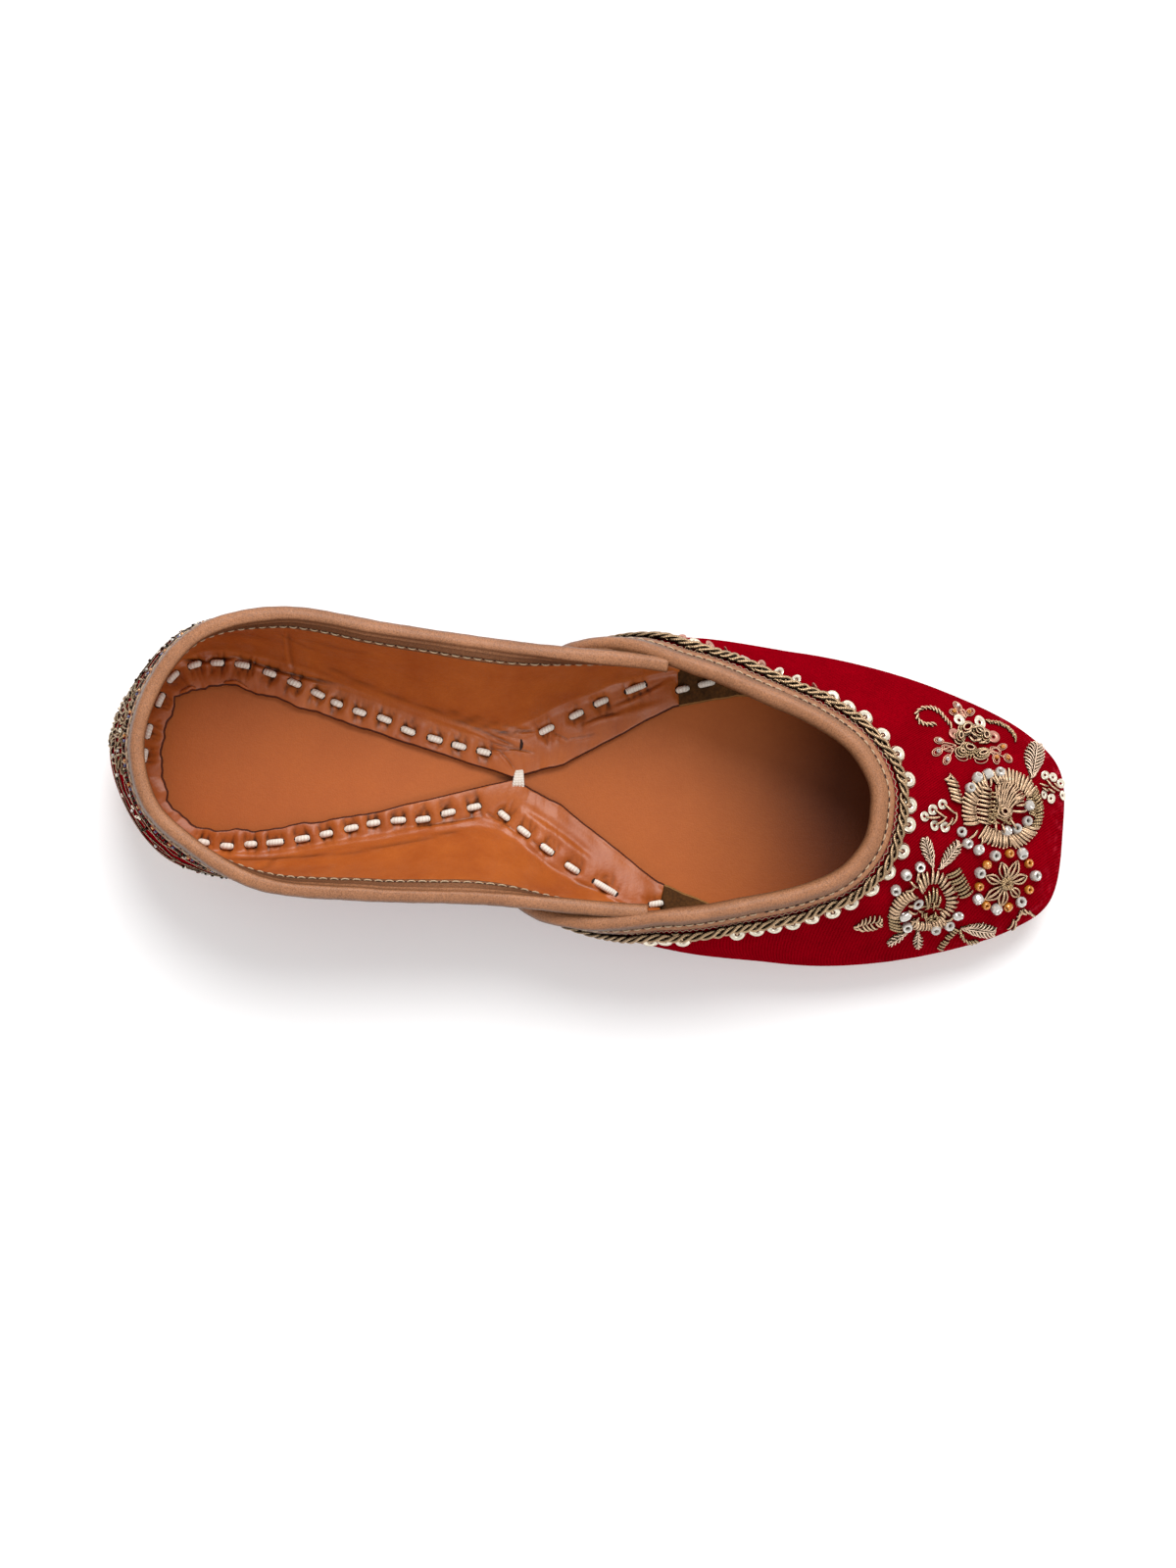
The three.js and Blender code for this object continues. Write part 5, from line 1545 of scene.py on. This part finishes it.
# the sequins thin out toward the rear, and stand askew where the vamp is steep; there some take the darker copy
# of the foil, painted shade
at = np.arange(14.0, full - 14.0, trim["sequinPitch"])
at = at + rng.normal(0, 0.22, len(at))
depth = trim["sequinDepth"] + rng.normal(0, 0.15, len(at))
gone = at / full
stays = rng.random(len(at)) < np.clip(1.35 - np.abs(gone - 0.5) * np.where(gone > 0.5, 3.4, 1.2), 0.25, 1)
at, depth, gone = at[stays], depth[stays], gone[stays]
places, out = alongBinding(throat, depth, 0.5, at)
steep = ramp(0.42 - gone, (0.0, 0.12))
paintedDim = rng.random(len(at)) < 0.55 * steep
bright = steep[~paintedDim]
foil.append(discs(places[~paintedDim], out[~paintedDim], trim["sequin"] - 0.35 * bright, 0.07 + 0.4 * bright, 0.34))
dimFoil.append(discs(places[paintedDim], out[paintedDim], 1.5, 0.5, 0.34))
# a wire loop under each sequin that lies flat, and a stub of coil from the plait to each sequin
ringAt = np.linspace(0, 2 * np.pi, 20)[:, None]
side = unit(np.cross(out, np.gradient(places, axis=0)))
ahead = np.cross(side, out)
loops = places[:, None] + (side[:, None] * np.cos(ringAt) + ahead[:, None] * np.sin(ringAt)) * 2.2
seen = steep < 0.4
wires.append(cords((loops - out[:, None] * 0.3)[seen], out[seen][:, None], 0.09, sides=4, ends=1.0))
stubStart, _ = alongBinding(throat, depth - 2.3, 0.8, at)
t = np.linspace(0, 1, 5)[:, None]
stub = stubStart[:, None] * (1 - t) + (places + out * 0.15)[:, None] * t
stub = stub + out[:, None] * 0.4 * np.sin(np.pi * t)
coil.append(cords(stub, out[:, None], 0.38, sides=6, ends=0.6))
cordPiece("goldPlait", braidParts, goldBraid)
cordPiece("whiteTrimThread", [whiteLine], machineThread)
cordPiece("redTrimThread", [redLine], redThread)
print("trim", flush=True)

# Heel: rows of wavy couched cords round the quarters, beads under the collar, and dense coils at the back
heel = {"cords": [(7.6, 0.6, 9.0), (11.6, 0.9, 11.0), (15.8, 0.9, 10.0)], "span": 4.1,
        "beadDepth": 5.4, "beadPitch": 1.15, "scattered": 70}
clump = {"from": 4.0, "half": 13, "columns": 23, "rows": 6, "depths": (6.2, 20.0), "coil": 2.6}
tiny = {"sides": 7, "rows": 4}
middleRun = np.interp(0.0, collar["u"], collar["run"])
ends = np.interp([-heel["span"], heel["span"]], collar["u"], collar["run"])
heelCords = []
for index, (depth, swing, period) in enumerate(heel["cords"]):
    at = np.arange(ends[0] + 4 * index, ends[1] - 4 * index, 0.35)
    sway = swing * np.sin(2 * np.pi * at / period + index) + 0.2 * wavy(at, index, ((17.0, 1.0), (7.0, 0.6)))
    for shift, way, width, pitch, thick in ((0.0, 1, 0.24, 2.2, 0.16), (0.9, -1, 0.2, 1.9, 0.11)):
        centre, out = alongBinding(collar, depth + shift + way * sway, 0.0, at)
        heelCords.append(rope(centre, out, width, pitch, thick, strands=2, flatness=0.3, sides=5))
cordPiece("heelCords", heelCords, goldBraid)
at = np.arange(ends[0], ends[1], heel["beadPitch"])
places, out = alongBinding(collar, heel["beadDepth"] + rng.normal(0, 0.15, len(at)), 0.45, at)
tint = np.arange(len(at)) % 5
foilBeads, darkBeads = tint < 2, tint == 2
coil.append(beadsAt(places[foilBeads], out[foilBeads], 0.5, **tiny))
cordPiece("blueBeads", [beadsAt(places[darkBeads], out[darkBeads], 0.46, **tiny)], blueGlass)
amber.append(beadsAt(places[tint == 3], out[tint == 3], 0.48, **tiny))
ringed.append(beadsAt(places[tint == 4], out[tint == 4], 0.52, **tiny))
# the coils at the back stand in a grid that is shaken, and narrows downward
clumpAt, half, top = middleRun + clump["from"], clump["half"], clump["depths"][0]
columns, rows = clump["columns"], clump["rows"]
at = clumpAt + np.repeat(np.linspace(-half, half, columns), rows) + rng.normal(0, 0.35, columns * rows)
depth = np.tile(np.linspace(*clump["depths"], rows), columns) + rng.normal(0, 0.6, columns * rows)
keep = np.abs(at - clumpAt) < half * (1 - (depth - top) / (2 * half))
at, depth = at[keep], depth[keep]
turn = rng.uniform(-0.7, 0.7, len(at)) + 1.2 * np.sign(at - clumpAt)
t = np.linspace(-0.5, 0.5, 5)
spotsAt = (at[:, None] + np.cos(turn)[:, None] * clump["coil"] * t).ravel()
spotsIn = (depth[:, None] + np.sin(turn)[:, None] * clump["coil"] * t).ravel()
points, out = alongBinding(collar, spotsIn, np.tile(0.35 * np.cos(np.pi * t), len(at)), spotsAt)
points, out = points.reshape(-1, 5, 3), out.reshape(-1, 5, 3)
cordPiece("heelCoils", [cords(points[::2], out[::2], 0.32, sides=6, ends=0.6)], goldBraid)
ringed.append(cords(points[1::2], out[1::2], 0.32, sides=6, ends=0.6))
at = middleRun + rng.uniform(-50, 40, heel["scattered"])
places, out = alongBinding(collar, rng.uniform(6.0, 15.0, heel["scattered"]), 0.4, at)
foil.append(discs(places[:24], out[:24], 0.6, 0.4))
clear.append(beadsAt(places[24:40], out[24:40], 0.42, **tiny))
ringed.append(beadsAt(places[40:], out[40:], 0.42, **tiny))
print("heel embroidery", flush=True)

cordPiece("goldCoils", coil, goldCoil)
cordPiece("ringedCoils", ringed, ringedCoil)
cordPiece("satinThreads", fine, goldFine)
cordPiece("wireLoops", wires, wirePink)
cordPiece("clearBeads", clear, clearGlass, False)
cordPiece("amberBeads", amber, amberGlass)
cordPiece("sequins", foil, sequinFoil)
cordPiece("dimSequins", dimFoil, sequinShade)
print("embroidery", flush=True)

# Floor, light and camera, in metres
floor = bpy.data.meshes.new("floor")
side = 3.0
floor.from_pydata([(-side, -side, 0), (side, -side, 0), (side, side, 0), (-side, side, 0)], [], [(0, 1, 2, 3)])
floorPiece = bpy.data.objects.new("floor", floor)
bpy.context.scene.collection.objects.link(floorPiece)
floorMaterial, _, floorShader = newMaterial("floorPaper", Roughness=0.9)
floorShader.inputs["Base Color"].default_value = (1.0, 1.0, 1.0, 1)
floor.materials.append(floorMaterial)


def areaLight(name, place, size, power):
    data = bpy.data.lights.new(name, "AREA")
    data.shape = "DISK"
    data.size = size
    data.energy = power
    light = bpy.data.objects.new(name, data)
    light.location = place
    light.rotation_euler = (Vector((0.1, 0.0, 0.02)) - light.location).to_track_quat("-Z", "Y").to_euler()
    bpy.context.scene.collection.objects.link(light)


areaLight("keyLight", (0.2, 0.8, 1.0), 1.0, 18.5)
areaLight("fillLight", (0.6, -0.7, 0.95), 0.8, 4.5)
world = bpy.data.worlds.new("studio")
world.use_nodes = True
world.node_tree.nodes["Background"].inputs["Color"].default_value = (1.0, 1.0, 1.0, 1)
world.node_tree.nodes["Background"].inputs["Strength"].default_value = 0.62
bpy.context.scene.world = world
bpy.context.scene.view_settings.view_transform = "Standard"

cameraData = bpy.data.cameras.new("camera")
cameraData.lens = 94.3
cameraData.sensor_width = 36
camera = bpy.data.objects.new("camera", cameraData)
camera.location = (0.0994, -0.0462, 1.1)
aim = Vector((0.0955, 0.0, 0.02))
camera.rotation_euler = (aim - camera.location).to_track_quat("-Z", "Y").to_euler()
bpy.context.scene.collection.objects.link(camera)
bpy.context.scene.camera = camera
